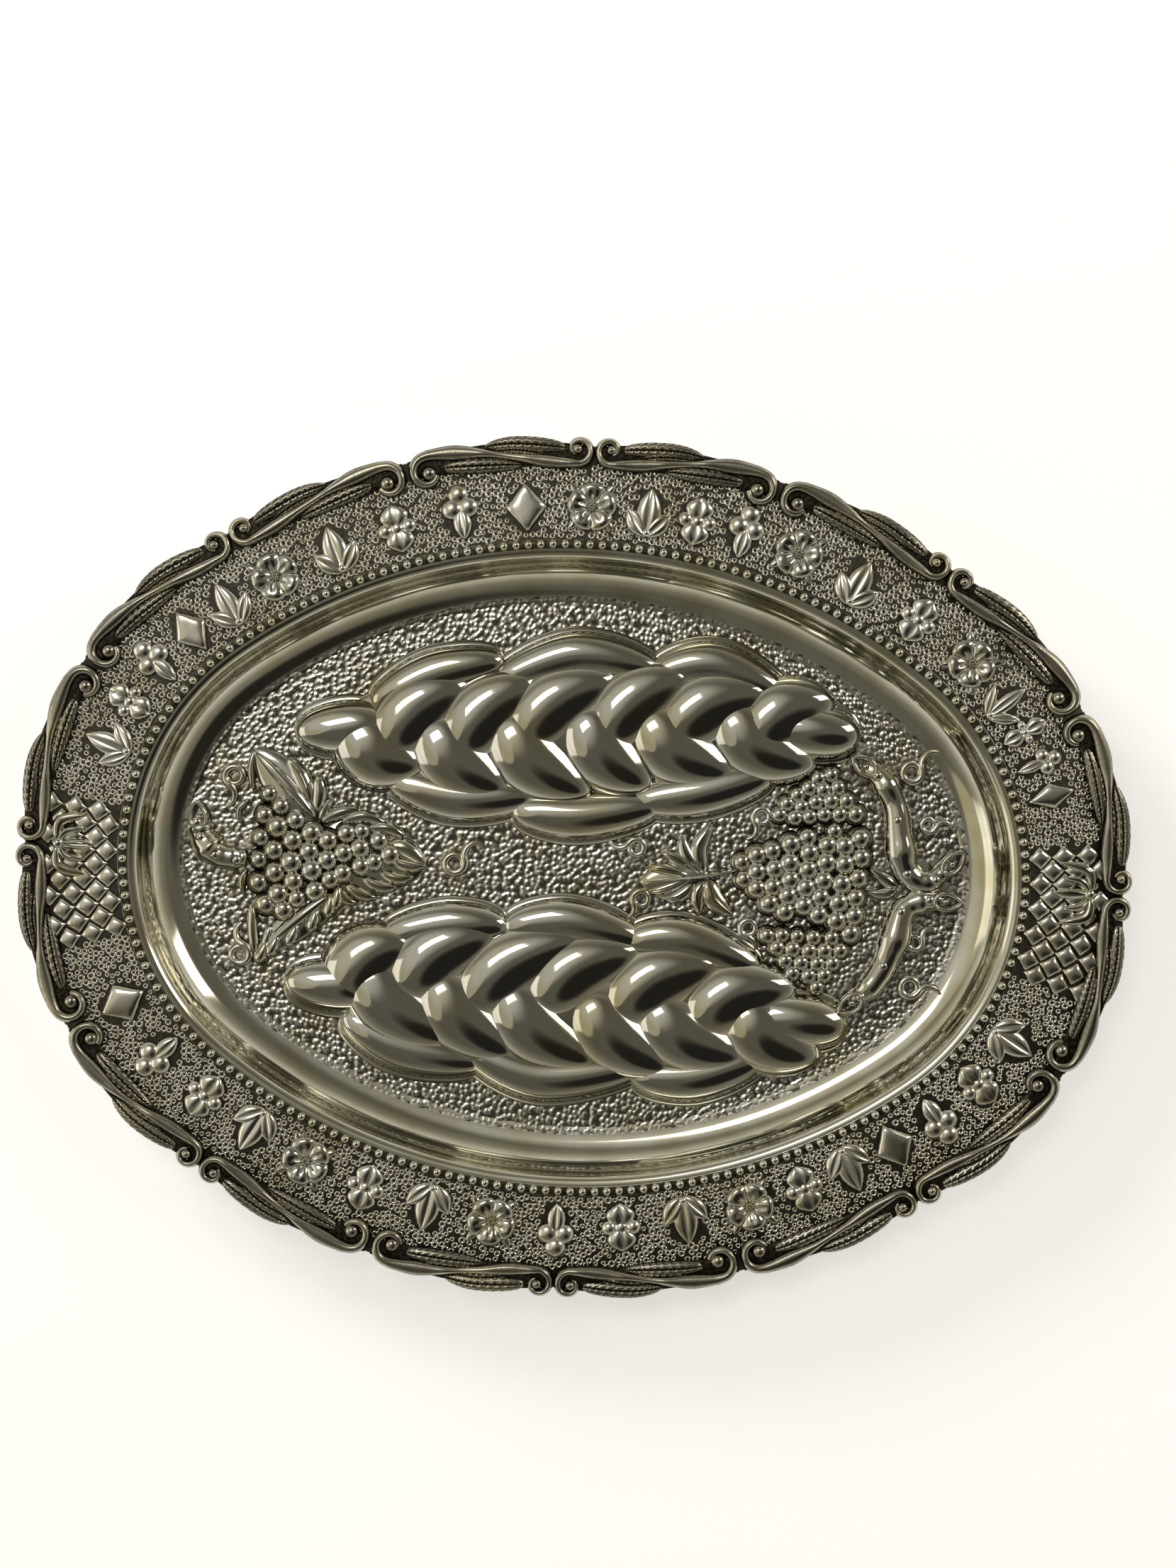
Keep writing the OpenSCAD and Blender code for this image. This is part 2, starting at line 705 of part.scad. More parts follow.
// A posy of three leaves that opens outward, tied at its foot
module posy(place) {
    color("gainsboro")
        on_rim(place, band_line - posy_l * 0.22) {
            for (turn = [58, 90, 122])
                rotate(turn)
                translate([posy_l * 0.08, 0])
                leaf_blade(posy_l * 0.92, posy_l * 0.26, petal_h);
            cylinder(r = posy_l * 0.16, h = petal_h * 1.2);
        }
}

tray_sheet();
bead_wire();
upper_loaf();
lower_loaf();
for (i = [0 : border_sections - 1])
    border_section(i);
for (i = [0 : len(flower_places) - 1])
    rim_flower(flower_places[i]);
for (i = [0 : len(motif_runs) - 1])
    rim_ornaments(motif_runs[i]);
lattice(lattice_places[1], posy_places[1]);  // left_lattice
lattice(lattice_places[0], posy_places[0]);  // right_lattice
posy(posy_places[1]);  // left_posy
posy(posy_places[0]);  // right_posy
left_bunch();
left_leaf([-loaf_tip + 9.5, 12, 130], 34, 20, 3);  // left_leaf_top
left_leaf([-loaf_tip + 12.5, -1.5, 0], 38, 26, 4);  // left_leaf_side
left_leaf(bottom_leaf_at, bottom_leaf_l, 17, 3);  // left_leaf_bottom
branch(left_stem_path);  // left_stem
tendrils(left_tendrils);
right_bunch();
small_bunch(upper_bunch_at, upper_rows);  // upper_bunch
small_bunch(lower_bunch_at, lower_rows);  // lower_bunch
right_leaf();
right_bracts();
branch(upper_branch_path);  // upper_branch
branch(lower_branch_path);  // lower_branch
tendrils(right_tendrils);
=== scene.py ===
# %% [markdown]
# # An oval silver bread tray
# The tray is raised from sheet silver: a hammered floor, a mirror-bright cove, a rim with a matted
# ground, and a cast scroll border. Plaited loaves, grape vines and rim ornaments stand on it in relief.
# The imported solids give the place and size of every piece. This lesson replaces each of them with a
# finer mesh in the same place. Sizes are written in millimetres and become metres when a mesh is made.

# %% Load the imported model
import math

import bmesh
import bpy
import numpy as np
from mathutils import Matrix, Vector


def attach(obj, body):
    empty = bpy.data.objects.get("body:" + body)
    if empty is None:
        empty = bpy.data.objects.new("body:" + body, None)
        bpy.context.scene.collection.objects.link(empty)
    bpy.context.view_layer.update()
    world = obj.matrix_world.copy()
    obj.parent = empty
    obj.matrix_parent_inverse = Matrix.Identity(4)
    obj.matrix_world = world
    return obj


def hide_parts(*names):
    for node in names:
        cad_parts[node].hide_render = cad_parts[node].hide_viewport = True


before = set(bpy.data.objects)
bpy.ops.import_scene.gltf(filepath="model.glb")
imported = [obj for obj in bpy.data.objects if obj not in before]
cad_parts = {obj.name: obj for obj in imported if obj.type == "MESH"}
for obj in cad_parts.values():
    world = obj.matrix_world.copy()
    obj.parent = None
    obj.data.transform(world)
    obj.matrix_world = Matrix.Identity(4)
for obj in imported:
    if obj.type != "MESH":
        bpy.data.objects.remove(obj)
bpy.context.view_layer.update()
MM = 0.001

# %% [markdown]
# ## The four-centred oval
# Silversmiths lay out an oval with four compass centres: two for the round ends and two for the long
# sides. Every ring on the tray is the same oval moved outward or inward, so one function gives a point
# at a length along the oval, any distance outside the beads. Lengths run clockwise from the top.

# %% The oval
BEAD_A, BEAD_B, END_R = 164.0, 117.5, 94.0
END_X = BEAD_A - END_R
SIDE_Y = (END_X ** 2 - (BEAD_B - END_R) ** 2) / (2 * (BEAD_B - END_R))
SIDE_R = BEAD_B + SIDE_Y
SIDE_TURN = math.atan2(END_X, SIDE_Y)


def quarter(line):
    """Length of a quarter of the oval that runs this far outside the beads."""
    return (SIDE_R + line) * SIDE_TURN + (END_R + line) * (math.pi / 2 - SIDE_TURN)


def oval(s, line, out):
    """Points at length s along the oval at one line, moved out from the beads, and the way they face."""
    s, out = np.broadcast_arrays(np.asarray(s, float), np.asarray(out, float))
    s = s % (4 * quarter(line))
    leg = np.floor(s / quarter(line)).astype(int)
    along = np.where(leg % 2 == 0, s - leg * quarter(line), (leg + 1) * quarter(line) - s)
    right = np.where(leg < 2, 1.0, -1.0)
    up = np.where((leg == 0) | (leg == 3), 1.0, -1.0)
    side = (SIDE_R + line) * SIDE_TURN
    turn = np.where(along < side, along / (SIDE_R + line), SIDE_TURN + (along - side) / (END_R + line))
    on_side = turn < SIDE_TURN
    x = np.where(on_side, (SIDE_R + out) * np.sin(turn), END_X + (END_R + out) * np.sin(turn))
    y = np.where(on_side, (SIDE_R + out) * np.cos(turn) - SIDE_Y, (END_R + out) * np.cos(turn))
    return np.stack([x * right, y * up], -1), np.arctan2(np.cos(turn) * up, np.sin(turn) * right)


ROUND = 4 * quarter(0)
print(f"the beaded oval is {ROUND:.1f} mm round")

# %% [markdown]
# ## Silver, bright and dark
# Silver is one metal here, but it is finished in several ways. High points are burnished bright. Low
# points keep a grey-brown film of silver sulphide, which the maker leaves there to bring the relief out.
# Each mesh carries a number called hollow on its points, 0 on the crest and 1 in the crease, so the
# film follows the form of the metal and never the camera. A fine noise breaks its edge up. On the grapes
# the film is also painted shade where the berries meet.

# %% Helpers for node trees and colours


def to_linear(code):
    """An sRGB hex colour as linear red, green, blue and alpha."""
    parts = [int(code[i:i + 2], 16) / 255 for i in (1, 3, 5)]
    return [c / 12.92 if c < 0.04045 else ((c + 0.055) / 1.055) ** 2.4 for c in parts] + [1.0]


def add(tree, kind, inputs=None, **settings):
    """Adds a node, sets it up, and fills or links its inputs. A node as a value means its first output."""
    made = tree.nodes.new(kind)
    for name, value in settings.items():
        setattr(made, name, value)
    for name, value in (inputs or {}).items():
        if isinstance(value, bpy.types.Node):
            value = value.outputs[0]
        if isinstance(value, bpy.types.NodeSocket):
            tree.links.new(value, made.inputs[name])
        else:
            made.inputs[name].default_value = value
    return made


def reckon(tree, operation, *values):
    """One operation on numbers, each given or taken from a node."""
    return add(tree, "ShaderNodeMath", dict(enumerate(values)), operation=operation)


def soft_step(tree, value, low, high):
    """0 below one value, 1 above another, and a soft step between them."""
    return add(tree, "ShaderNodeMapRange", {"Value": value, "From Min": low, "From Max": high},
               interpolation_type="SMOOTHSTEP")


def blend(tree, share, one, other):
    """Mixes two colours. A mix node has its colours at inputs 6 and 7 and at output 2."""
    return add(tree, "ShaderNodeMix", {"Factor": share, 6: one, 7: other}, data_type="RGBA").outputs[2]


# %% The silver finishes
# How far the noise moves the edge of the film, on the scale of the hollow number
RAGGED = 0.3


def silver(name, bright, dark, gloss, dull, film, grain_mm, grain_depth):
    """Silver: bright where it is burnished, dark where the film is left, between two hollow values."""
    finish = bpy.data.materials.new(name)
    finish.use_nodes = True
    tree = finish.node_tree
    place = add(tree, "ShaderNodeTexCoord").outputs["Object"]
    hollow = add(tree, "ShaderNodeAttribute", attribute_name="hollow").outputs["Fac"]

    def noise(size, detail):
        return add(tree, "ShaderNodeTexNoise", {"Vector": place, "Scale": 1 / size, "Detail": detail})

    # Patches of tarnish a finger wide, and a ragged edge of the film about a millimetre wide
    patch, ragged = noise(0.018, 3.0), noise(0.0012, 2.0)
    broken = reckon(tree, "MULTIPLY_ADD", ragged, RAGGED, hollow)
    cover = soft_step(tree, broken, film[0] + RAGGED / 2, film[1] + RAGGED / 2)
    warm = add(tree, "ShaderNodeMapRange", {"Value": patch, "From Min": 0.42, "From Max": 0.72})
    tint = blend(tree, warm, to_linear(bright), to_linear("#cdc7ae"))
    worn = add(tree, "ShaderNodeMapRange", {"Value": cover, "To Min": gloss, "To Max": dull})
    smear = reckon(tree, "MULTIPLY_ADD", patch, 0.1, worn)
    bump = add(tree, "ShaderNodeBump", {"Height": noise(grain_mm * MM, 3.0), "Strength": 1.0,
                                        "Distance": grain_depth * MM})
    shader = tree.nodes["Principled BSDF"]
    shader.inputs["Metallic"].default_value = 1.0
    tree.links.new(blend(tree, cover, tint, to_linear(dark)), shader.inputs["Base Color"])
    tree.links.new(smear.outputs[0], shader.inputs["Roughness"])
    tree.links.new(bump.outputs[0], shader.inputs["Normal"])
    return finish


# Burnished relief: clear reflections, a thin dark line in every crease
BURNISHED = silver("burnished_silver", "#cfcec6", "#3f3b2f", 0.04, 0.42, (0.6, 1.0), 2.2, 0.01)
# The cast border and the backing of the grapes keep more of the film, so high forms stand out on dark
# metal. On the backing this dark film is partly patina and partly painted shade in the gaps between the
# berries
CAST = silver("cast_silver", "#b0ab9f", "#241f17", 0.14, 0.42, (0.08, 0.62), 0.9, 0.02)
# The hammered floor is bright on the pebbles and grey between them
HAMMERED = silver("hammered_silver", "#f1efe8", "#5a564b", 0.16, 0.42, (0.5, 1.0), 0.7, 0.03)
# The matted ground of the rim is struck all over and then darkened, so it hardly reflects
MATTED = silver("matted_silver", "#a8a397", "#45413a", 0.34, 0.5, (0.3, 1.0), 0.5, 0.03)
# The cove is burnished to a mirror
MIRROR = silver("mirror_silver", "#e2e0d2", "#575140", 0.05, 0.3, (0.8, 1.0), 9.0, 0.012)
print("finishes:", [m.name for m in (BURNISHED, CAST, HAMMERED, MATTED, MIRROR)])

# %% [markdown]
# ## From points to pieces
# A piece is a pile of closed parts: points, faces and the hollow number of each point. The functions
# below join them into one mesh, merge the points that meet at the tip of a part, turn all faces
# outward, fix the piece to the tray and hide the solids that it stands for.

# %% Make a piece


def new_object(name, data):
    """An object in the scene that shows some data."""
    made = bpy.data.objects.new(name, data)
    bpy.context.collection.objects.link(made)
    return made


def put_in_place(piece, nodes):
    """Fixes a finished piece to the tray and hides the solids that it stands for."""
    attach(piece, "root")
    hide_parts(*nodes)
    count = sum(len(face.vertices) - 2 for face in piece.data.polygons)
    print(f"{piece.name}: {count} triangles")


def make_piece(name, parts, finish, nodes, sharp=50):
    """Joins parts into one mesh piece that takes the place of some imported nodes."""
    points, faces, hollow, start = [], [], [], 0
    for part_points, part_faces, part_hollow in parts:
        points.append(part_points)
        hollow.append(part_hollow)
        faces += [[start + i for i in face] for face in part_faces]
        start += len(part_points)
    mesh = bpy.data.meshes.new(name)
    mesh.from_pydata((np.concatenate(points) * MM).tolist(), [], faces)
    field = mesh.attributes.new("hollow", "FLOAT", "POINT")
    field.data.foreach_set("value", np.concatenate(hollow).astype(np.float32))
    body = bmesh.new()
    body.from_mesh(mesh)
    bmesh.ops.remove_doubles(body, verts=body.verts, dist=0.001 * MM)
    bmesh.ops.dissolve_degenerate(body, edges=body.edges, dist=0.0005 * MM)
    bmesh.ops.recalc_face_normals(body, faces=body.faces)
    body.to_mesh(mesh)
    body.free()
    mesh.shade_smooth()
    mesh.set_sharp_from_angle(angle=math.radians(sharp))
    mesh.materials.append(finish)
    put_in_place(new_object(name, mesh), nodes)


# %% [markdown]
# ## Rings round the oval
# The cove and the rim are one section pushed round the oval. The section is a closed outline of
# distance outside the beads and height, so every ring is a closed solid with its wall thickness.

# %% Sweep a section round the oval


def lifted(flat, height):
    """Flat points at a height, one for all of them or one for each."""
    return np.concatenate([flat, np.broadcast_to(height, flat.shape[:-1])[..., None]], -1)


def ring(section, hollow=0.0, columns=360):
    """A closed section, as (out, height) points, pushed round the oval."""
    section = np.asarray(section, float)
    k = len(section)
    flat, _ = oval((np.arange(columns) * ROUND / columns)[:, None], 0, section[None, :, 0])
    rows = [(a * k, (a + 1) % columns * k) for a in range(columns)]
    faces = [[a + j, b + j, b + (j + 1) % k, a + (j + 1) % k] for a, b in rows for j in range(k)]
    return lifted(flat, section[:, 1]).reshape(-1, 3), faces, np.tile(np.broadcast_to(hollow, k), columns)


def arc(centre, r, turn):
    """Points about a centre, each at its own radius and turn."""
    return np.stack([centre[0] + r * np.cos(turn), centre[1] + r * np.sin(turn)], -1)


# %% [markdown]
# ## The raised sheet
# A tray like this starts as one flat sheet of silver, here taken as 1.2 mm thick. The smith sinks the
# well over a form, which leaves a hollow cove and a rolled lip. Here the cove and the rim are two rings,
# because one is a mirror and the other is matted, and the floor is a plate of its own.

# %% The cove and the rim
SHEET_T, WELL_DEPTH, COVE_W, LIP_R, LIP_GAP, RIM_W = 1.2, 16.0, 18.0, 3.0, 2.0, 35.5
FLOOR_Z, RIM_Z = SHEET_T, WELL_DEPTH + SHEET_T
FLOOR_LINE = -(LIP_GAP + COVE_W)
COVE_TURN = 2 * math.atan(WELL_DEPTH / COVE_W)
COVE_R = COVE_W / math.sin(COVE_TURN) - LIP_R
# The cove and the floor overlap by LAP, and the cove ends under the beads at SEAM
LAP, SEAM, BEVEL_W, BEVEL_H = 2, -1.4, 0.4, 0.35


def cove_face(side, steps=22):
    """One face of the cove and lip, from the floor up to the rim: side 1 is the upper face."""
    turn = -math.pi / 2 + COVE_TURN * np.linspace(0, 1, steps)
    cove = arc((FLOOR_LINE, SHEET_T / 2 + COVE_R), COVE_R - side * SHEET_T / 2, turn)
    turn = math.pi / 2 + COVE_TURN * np.linspace(1, 0, steps // 2)[1:]
    lip = arc((-LIP_GAP, WELL_DEPTH + SHEET_T / 2 - LIP_R), LIP_R + side * SHEET_T / 2, turn)
    return np.concatenate([cove, lip])


cove_foot = FLOOR_LINE - LAP
cove_section = np.concatenate([[[cove_foot, 0.4]], cove_face(1) - [0, 0.02], [[SEAM, RIM_Z]],
                               [[SEAM, WELL_DEPTH]], cove_face(-1)[::-1], [[cove_foot, 0.05]]])
make_piece("well_cove", [ring(cove_section)], MIRROR, ["tray_sheet"])
rim_section = [[SEAM, RIM_Z], [RIM_W - BEVEL_W, RIM_Z], [RIM_W, RIM_Z - BEVEL_H],
               [RIM_W, WELL_DEPTH + BEVEL_H], [RIM_W - BEVEL_W, WELL_DEPTH], [SEAM, WELL_DEPTH]]
rim_hollow = [0.9] * 4 + [0.1] * 2
make_piece("rim_sheet", [ring(rim_section, rim_hollow)], MATTED, ["tray_sheet"])

# %% [markdown]
# ## The hammered floor
# The floor is struck all over with a small round punch, which leaves pebbles about two millimetres
# wide. A texture alone would look flat from the side, so the points themselves are moved. A Geometry
# Nodes tree reads a Voronoi pattern at each point, sinks the edges of every cell, and writes the low
# places into the hollow number. Close to the vines and at the edge of the floor the pebbles die away.

# %% A tree with named inputs, and how to run it


def new_tree(name, **inputs):
    """A geometry tree with named inputs of some kinds."""
    tree = bpy.data.node_groups.new(name, "GeometryNodeTree")
    tree.interface.new_socket("Geometry", in_out="INPUT", socket_type="NodeSocketGeometry")
    tree.interface.new_socket("Geometry", in_out="OUTPUT", socket_type="NodeSocketGeometry")
    for label, kind in inputs.items():
        tree.interface.new_socket(label, in_out="INPUT", socket_type="NodeSocket" + kind)
    return tree, add(tree, "NodeGroupInput").outputs


def close_tree(tree, given, geometry):
    """Ends a tree: copies become plain faces and take the given finish."""
    solid = add(tree, "GeometryNodeRealizeInstances", {"Geometry": geometry})
    done = add(tree, "GeometryNodeSetMaterial", {"Geometry": solid, "Material": given["Finish"]})
    add(tree, "NodeGroupOutput", {"Geometry": done})


def carried(tree, label):
    """The number of this name that each point of the carrier has."""
    return add(tree, "GeometryNodeInputNamedAttribute", {"Name": label}, data_type="FLOAT")


def grow(name, carrier, tree, nodes, slot="polished_silver", **values):
    """Runs a tree on a carrier mesh, and puts the plain mesh that it gives in place."""
    modifier = carrier.modifiers.new(name, "NODES")
    modifier.node_group = tree
    for item in tree.interface.items_tree:
        if item.item_type == "SOCKET" and item.in_out == "INPUT" and item.name in values:
            modifier[item.identifier] = values[item.name]
    graph = bpy.context.evaluated_depsgraph_get()
    mesh = bpy.data.meshes.new_from_object(carrier.evaluated_get(graph))
    mesh.name = name
    carrier.modifiers.remove(modifier)
    bpy.data.objects.remove(carrier)
    put_in_place(new_object(name, mesh), nodes)


def carrier_mesh(name, points, edges=(), faces=(), **fields):
    """A mesh that only carries a tree: its points in millimetres and named numbers on them."""
    mesh = bpy.data.meshes.new(name)
    mesh.from_pydata((np.asarray(points) * MM).tolist(), list(edges), list(faces))
    for label, values in fields.items():
        field = mesh.attributes.new(label, "FLOAT", "POINT")
        field.data.foreach_set("value", np.asarray(values, np.float32))
    return new_object(name, mesh)


# %% The floor as a grid
ROWS, COLUMNS = 432, 600
u, v = np.meshgrid(np.linspace(-1, 1, COLUMNS + 1), np.linspace(-1, 1, ROWS + 1))
# A square grid is bent onto a round disc, and the disc is stretched to the oval
disc = np.stack([u * np.sqrt(1 - v ** 2 / 2), v * np.sqrt(1 - u ** 2 / 2)], -1)
edge, _ = oval(np.linspace(0, ROUND, 2001), 0, FLOOR_LINE + LAP)
longest, widest = edge.max(0)
edge_angle = np.arctan2(edge[:, 1] / widest, edge[:, 0] / longest)
order = np.argsort(edge_angle)
stretch = np.hypot(edge[:, 0] / longest, edge[:, 1] / widest)[order]
disc_angle = np.arctan2(disc[..., 1], disc[..., 0])
scale = np.interp(disc_angle, edge_angle[order], stretch, period=2 * math.pi)
floor_xy = disc * scale[..., None] * [longest, widest]
# The hammered ground ends a little way up the foot of the cove
x, y = np.abs(floor_xy[..., 0]), np.abs(floor_xy[..., 1])
outside = np.where(np.arctan2(x, y + SIDE_Y) < SIDE_TURN, np.hypot(x, y + SIDE_Y) - SIDE_R,
                   np.hypot(x - END_X, y) - END_R)
upper_r = COVE_R - SHEET_T / 2
climb = upper_r - np.sqrt(upper_r ** 2 - (outside - FLOOR_LINE).clip(0) ** 2)
floor_points = lifted(floor_xy, FLOOR_Z + 0.1 * (climb > 0) + climb)
print("floor grid:", floor_points.shape[:2], "points")

# %% Where the pebbles die away
# The middle lines of the branches, and each tendril's place, turn and size
BRANCHES = {
    "left_stem": [(-139, 11.4), (-137.2, 3.8), (-131, -2.2), (-120.5, -2.8)],
    "upper_branch": [
        (105, 42.2), (111.9, 37.4), (117.4, 28), (119.4, 16), (121.4, 7), (125.5, 1.6), (132.4, 1.4),
        (139, 8)],
    "lower_branch": [
        (137.4, -6.2), (129, -6.4), (122.2, -10.4), (119.4, -21.4), (115.6, -32), (110.6, -39.8),
        (104.2, -45.4)],
}
TENDRILS = {
    "left_tendrils": [(-126.8, 27.2, 60, 1.05), (-121.8, -38.6, 250, 1.05), (-44.3, -1, 200, 1.1)],
    "right_tendrils": [
        (22.6, 8, 330, 0.9), (25.3, -10.8, 30, 0.9), (68.3, 21.8, 40, 0.9), (65.4, -19.6, 80, 0.9),
        (122.6, 40.8, 200, 1.1), (129.8, 21.6, 160, 0.8), (127, -21.9, 200, 0.8),
        (126, -38.4, 150, 1.05)],
}
# Near a vine the pebbles keep LEAST of their depth, and over FADE they come back to all of it
TENDRIL_R, BRANCH_CLEAR, FADE, LEAST = 3.6, 5.0, 4, 0.25
# 1 where the pebbles stand full, 0 at the edge of the floor, and little close to the vines
full_depth = ((FLOOR_LINE + LAP - outside) / 3).clip(0, 1)
quiet = [(x, y, TENDRIL_R * size) for places in TENDRILS.values() for x, y, _, size in places]
quiet += [(x, y, BRANCH_CLEAR) for points in BRANCHES.values() for x, y in points]
for x, y, r in quiet:
    away = np.hypot(floor_xy[..., 0] - x, floor_xy[..., 1] - y) - r
    full_depth *= LEAST + (1 - LEAST) * (away / FADE).clip(0, 1)
print("quiet spots:", len(quiet))


def floor_plate(rows):
    """Some rows of the grid with a skirt and an underside: points, faces, pebble depths and edge marks."""
    top = floor_points[rows].reshape(-1, 3)
    row, last = COLUMNS + 1, len(floor_points[rows]) - 1
    faces = [[j * row + i, j * row + i + 1, (j + 1) * row + i + 1, (j + 1) * row + i]
             for j in range(last) for i in range(COLUMNS)]
    loop = list(range(row)) + [j * row + COLUMNS for j in range(1, last + 1)]
    loop += [last * row + i for i in range(COLUMNS - 1, -1, -1)] + [j * row for j in range(last - 1, 0, -1)]
    n = len(loop)
    faces += [[loop[i], len(top) + i, len(top) + (i + 1) % n, loop[(i + 1) % n]] for i in range(n)]
    faces.append([len(top) + i for i in range(n - 1, -1, -1)])
    rim = np.zeros(len(top) + n)
    rim[loop] = 1
    depth = np.concatenate([full_depth[rows].reshape(-1), np.zeros(n)])
    return np.concatenate([top, top[loop] * [1, 1, 0]]), faces, depth, rim


# %% Hammer it
tree, given = new_tree("hammer", Pebble="Float", Depth="Float", Finish="Material")
at = add(tree, "GeometryNodeInputPosition")
wander = add(tree, "ShaderNodeTexNoise", {"Vector": at, "Scale": 1 / 0.003, "Detail": 1.0},
             noise_dimensions="3D")
pushed = add(tree, "ShaderNodeVectorMath", {0: wander.outputs["Color"], 1: (0.0009, 0.0009, 0.0), 2: at},
             operation="MULTIPLY_ADD")
closer = reckon(tree, "DIVIDE", 1.0, given["Pebble"])
cells = add(tree, "ShaderNodeTexVoronoi", {"Vector": pushed, "Scale": closer}, feature="F1",
            voronoi_dimensions="2D")
dip = soft_step(tree, cells.outputs["Distance"], 0.0, 0.8)
lower = reckon(tree, "MULTIPLY", dip, given["Depth"])
gated = reckon(tree, "MULTIPLY", lower, carried(tree, "share"))
offset = add(tree, "ShaderNodeCombineXYZ", {"Z": reckon(tree, "MULTIPLY", gated, -1.0)})
kept = add(tree, "GeometryNodeStoreNamedAttribute", {"Geometry": given["Geometry"], "Name": "hollow",
                                                     "Value": dip}, data_type="FLOAT", domain="POINT")
moved = add(tree, "GeometryNodeSetPosition", {"Geometry": kept, "Offset": offset})
smooth = add(tree, "GeometryNodeSetShadeSmooth", {"Geometry": moved})
# The edge between the top and the skirt stays sharp, so that no seam shows where two plates meet
whole = reckon(tree, "GREATER_THAN", carried(tree, "rim"), 0.9)
crisp = add(tree, "GeometryNodeSetShadeSmooth", {"Geometry": smooth, "Selection": whole,
                                                 "Shade Smooth": False}, domain="EDGE")
close_tree(tree, given, crisp)
PLATES, PEBBLE, PEBBLE_DEPTH = 4, 2.0, 0.42
for i in range(PLATES):
    points, faces, depth, rim = floor_plate(slice(i * ROWS // PLATES, (i + 1) * ROWS // PLATES + 1))
    plate_carrier = carrier_mesh("floor_carrier", points, faces=faces, share=depth, rim=rim)
    grow(f"hammered_floor_{i + 1}", plate_carrier, tree, ["tray_sheet"], "sheet_silver",
         Pebble=PEBBLE * MM, Depth=PEBBLE_DEPTH * MM, Finish=HAMMERED)

# %% [markdown]
# ## Beads round the well
# The beaded wire is a strip with round beads, soldered where the rim turns down. Two hundred copies of
# one small dome are set along the oval by a tree: the oval becomes a curve, the curve is divided evenly,
# and every point gets a copy. A copy has only a few dozen faces, because there are so many.

# %% One shape and its copies


def lathe(name, outline, sides):
    """A small turned shape from (radius, height, hollow) points, to be copied by a tree."""
    outline = np.asarray(outline, float)
    turn = np.arange(sides) * 2 * math.pi / sides
    points = [[r * math.cos(t), r * math.sin(t), z] for r, z, _ in outline for t in turn]
    nexts = [(j + 1) % sides for j in range(sides)]
    faces = [[a + j, a + nexts[j], a + sides + nexts[j], a + sides + j]
             for a in range(0, (len(outline) - 1) * sides, sides) for j in range(sides)]
    faces.append([(len(outline) - 1) * sides + j for j in range(sides)])
    shape = carrier_mesh(name, points, faces=faces, hollow=np.repeat(outline[:, 2], sides))
    shape.data.shade_smooth()
    return shape


def copy_shape(tree, given, spots, **more):
    """Sets a copy of the given shape on every point, and ends the tree."""
    shape = add(tree, "GeometryNodeObjectInfo", {"Object": given["Shape"], "As Instance": True})
    copies = add(tree, "GeometryNodeInstanceOnPoints",
                 {"Points": spots, "Instance": shape.outputs["Geometry"], **more})
    close_tree(tree, given, copies)


# %% Two hundred beads
BEAD_R, BEADS, STRIP_H, WIRE_STEPS = 1.7, 200, 0.6, 800
bead_outline = [[BEAD_R * math.cos(a), BEAD_R * math.sin(a), 1 - math.sin(a) ** 0.5]
                for a in np.radians([0, 25, 50, 72])]
bead = lathe("bead", bead_outline, 10)
tree, given = new_tree("beads", Shape="Object", Count="Int", Finish="Material")
wire = add(tree, "GeometryNodeMeshToCurve", {"Mesh": given["Geometry"]})
even = add(tree, "GeometryNodeResampleCurve", {"Curve": wire, "Count": given["Count"]})
copy_shape(tree, given, even)
line, _ = oval(np.arange(WIRE_STEPS) * ROUND / WIRE_STEPS, 0, 0)
line_edges = [[i, (i + 1) % WIRE_STEPS] for i in range(WIRE_STEPS)]
wire_carrier = carrier_mesh("wire", lifted(line, RIM_Z + STRIP_H - 0.1), edges=line_edges)
grow("bead_row", wire_carrier, tree, ["bead_wire"], Shape=bead, Count=BEADS, Finish=MIRROR)
strip = [[-1.8, RIM_Z], [-1.8, RIM_Z + 0.45], [-1.5, RIM_Z + STRIP_H], [1.5, RIM_Z + STRIP_H],
         [1.8, RIM_Z + 0.45], [1.8, RIM_Z]]
make_piece("bead_strip", [ring(strip, [0.6, 0.7, 0.95, 0.95, 0.8, 0.95])], BURNISHED, ["bead_wire"])
bpy.data.objects.remove(bead)

# %% [markdown]
# ## One way to raise metal
# Almost all the relief on this tray is the same thing: metal that swells up along a line, with a width
# and a height that change on the way. A rail of the border, a strand of dough, a leaf, a tendril and a
# petal differ only in their line, their widths and the shape of their crown. So one function makes them
# all. The crown can lean to one side, it can be round or flat, and it can be cut with fine grooves.

# %% Paths and widths


def ease(steps):
    """Numbers from 0 to 1 that lie closer near both ends, where a form turns fast."""
    return (1 - np.cos(np.linspace(0, math.pi, steps + 1))) / 2


def curve(points, steps):
    """A smooth path through a few points."""
    points = np.asarray(points, float)
    last = len(points) - 1
    t = ease(steps) * last
    i = np.minimum(t.astype(int), last - 1)
    f = (t - i)[:, None]
    p0, p1 = points[np.maximum(i - 1, 0)], points[i]
    p2, p3 = points[i + 1], points[np.minimum(i + 2, last)]
    return 0.5 * (2 * p1 + (p2 - p0) * f + (2 * p0 - 5 * p1 + 4 * p2 - p3) * f ** 2
                  + (3 * p1 - p0 - 3 * p2 + p3) * f ** 3)


def plump(steps, peak=0.5, head=0.5, tail=0.5):
    """Widths from 0 to 1 and back along a path: 0.5 gives a round end, 1 and more a pointed one."""
    u = ease(steps)
    before = (1 - (1 - u / peak) ** 2).clip(0) ** head
    after = (1 - ((u - peak) / (1 - peak)) ** 2).clip(0) ** tail
    return np.where(u < peak, before, after)


def heading(degrees):
    """A step of length 1 in some direction."""
    return np.array([math.cos(math.radians(degrees)), math.sin(math.radians(degrees))])


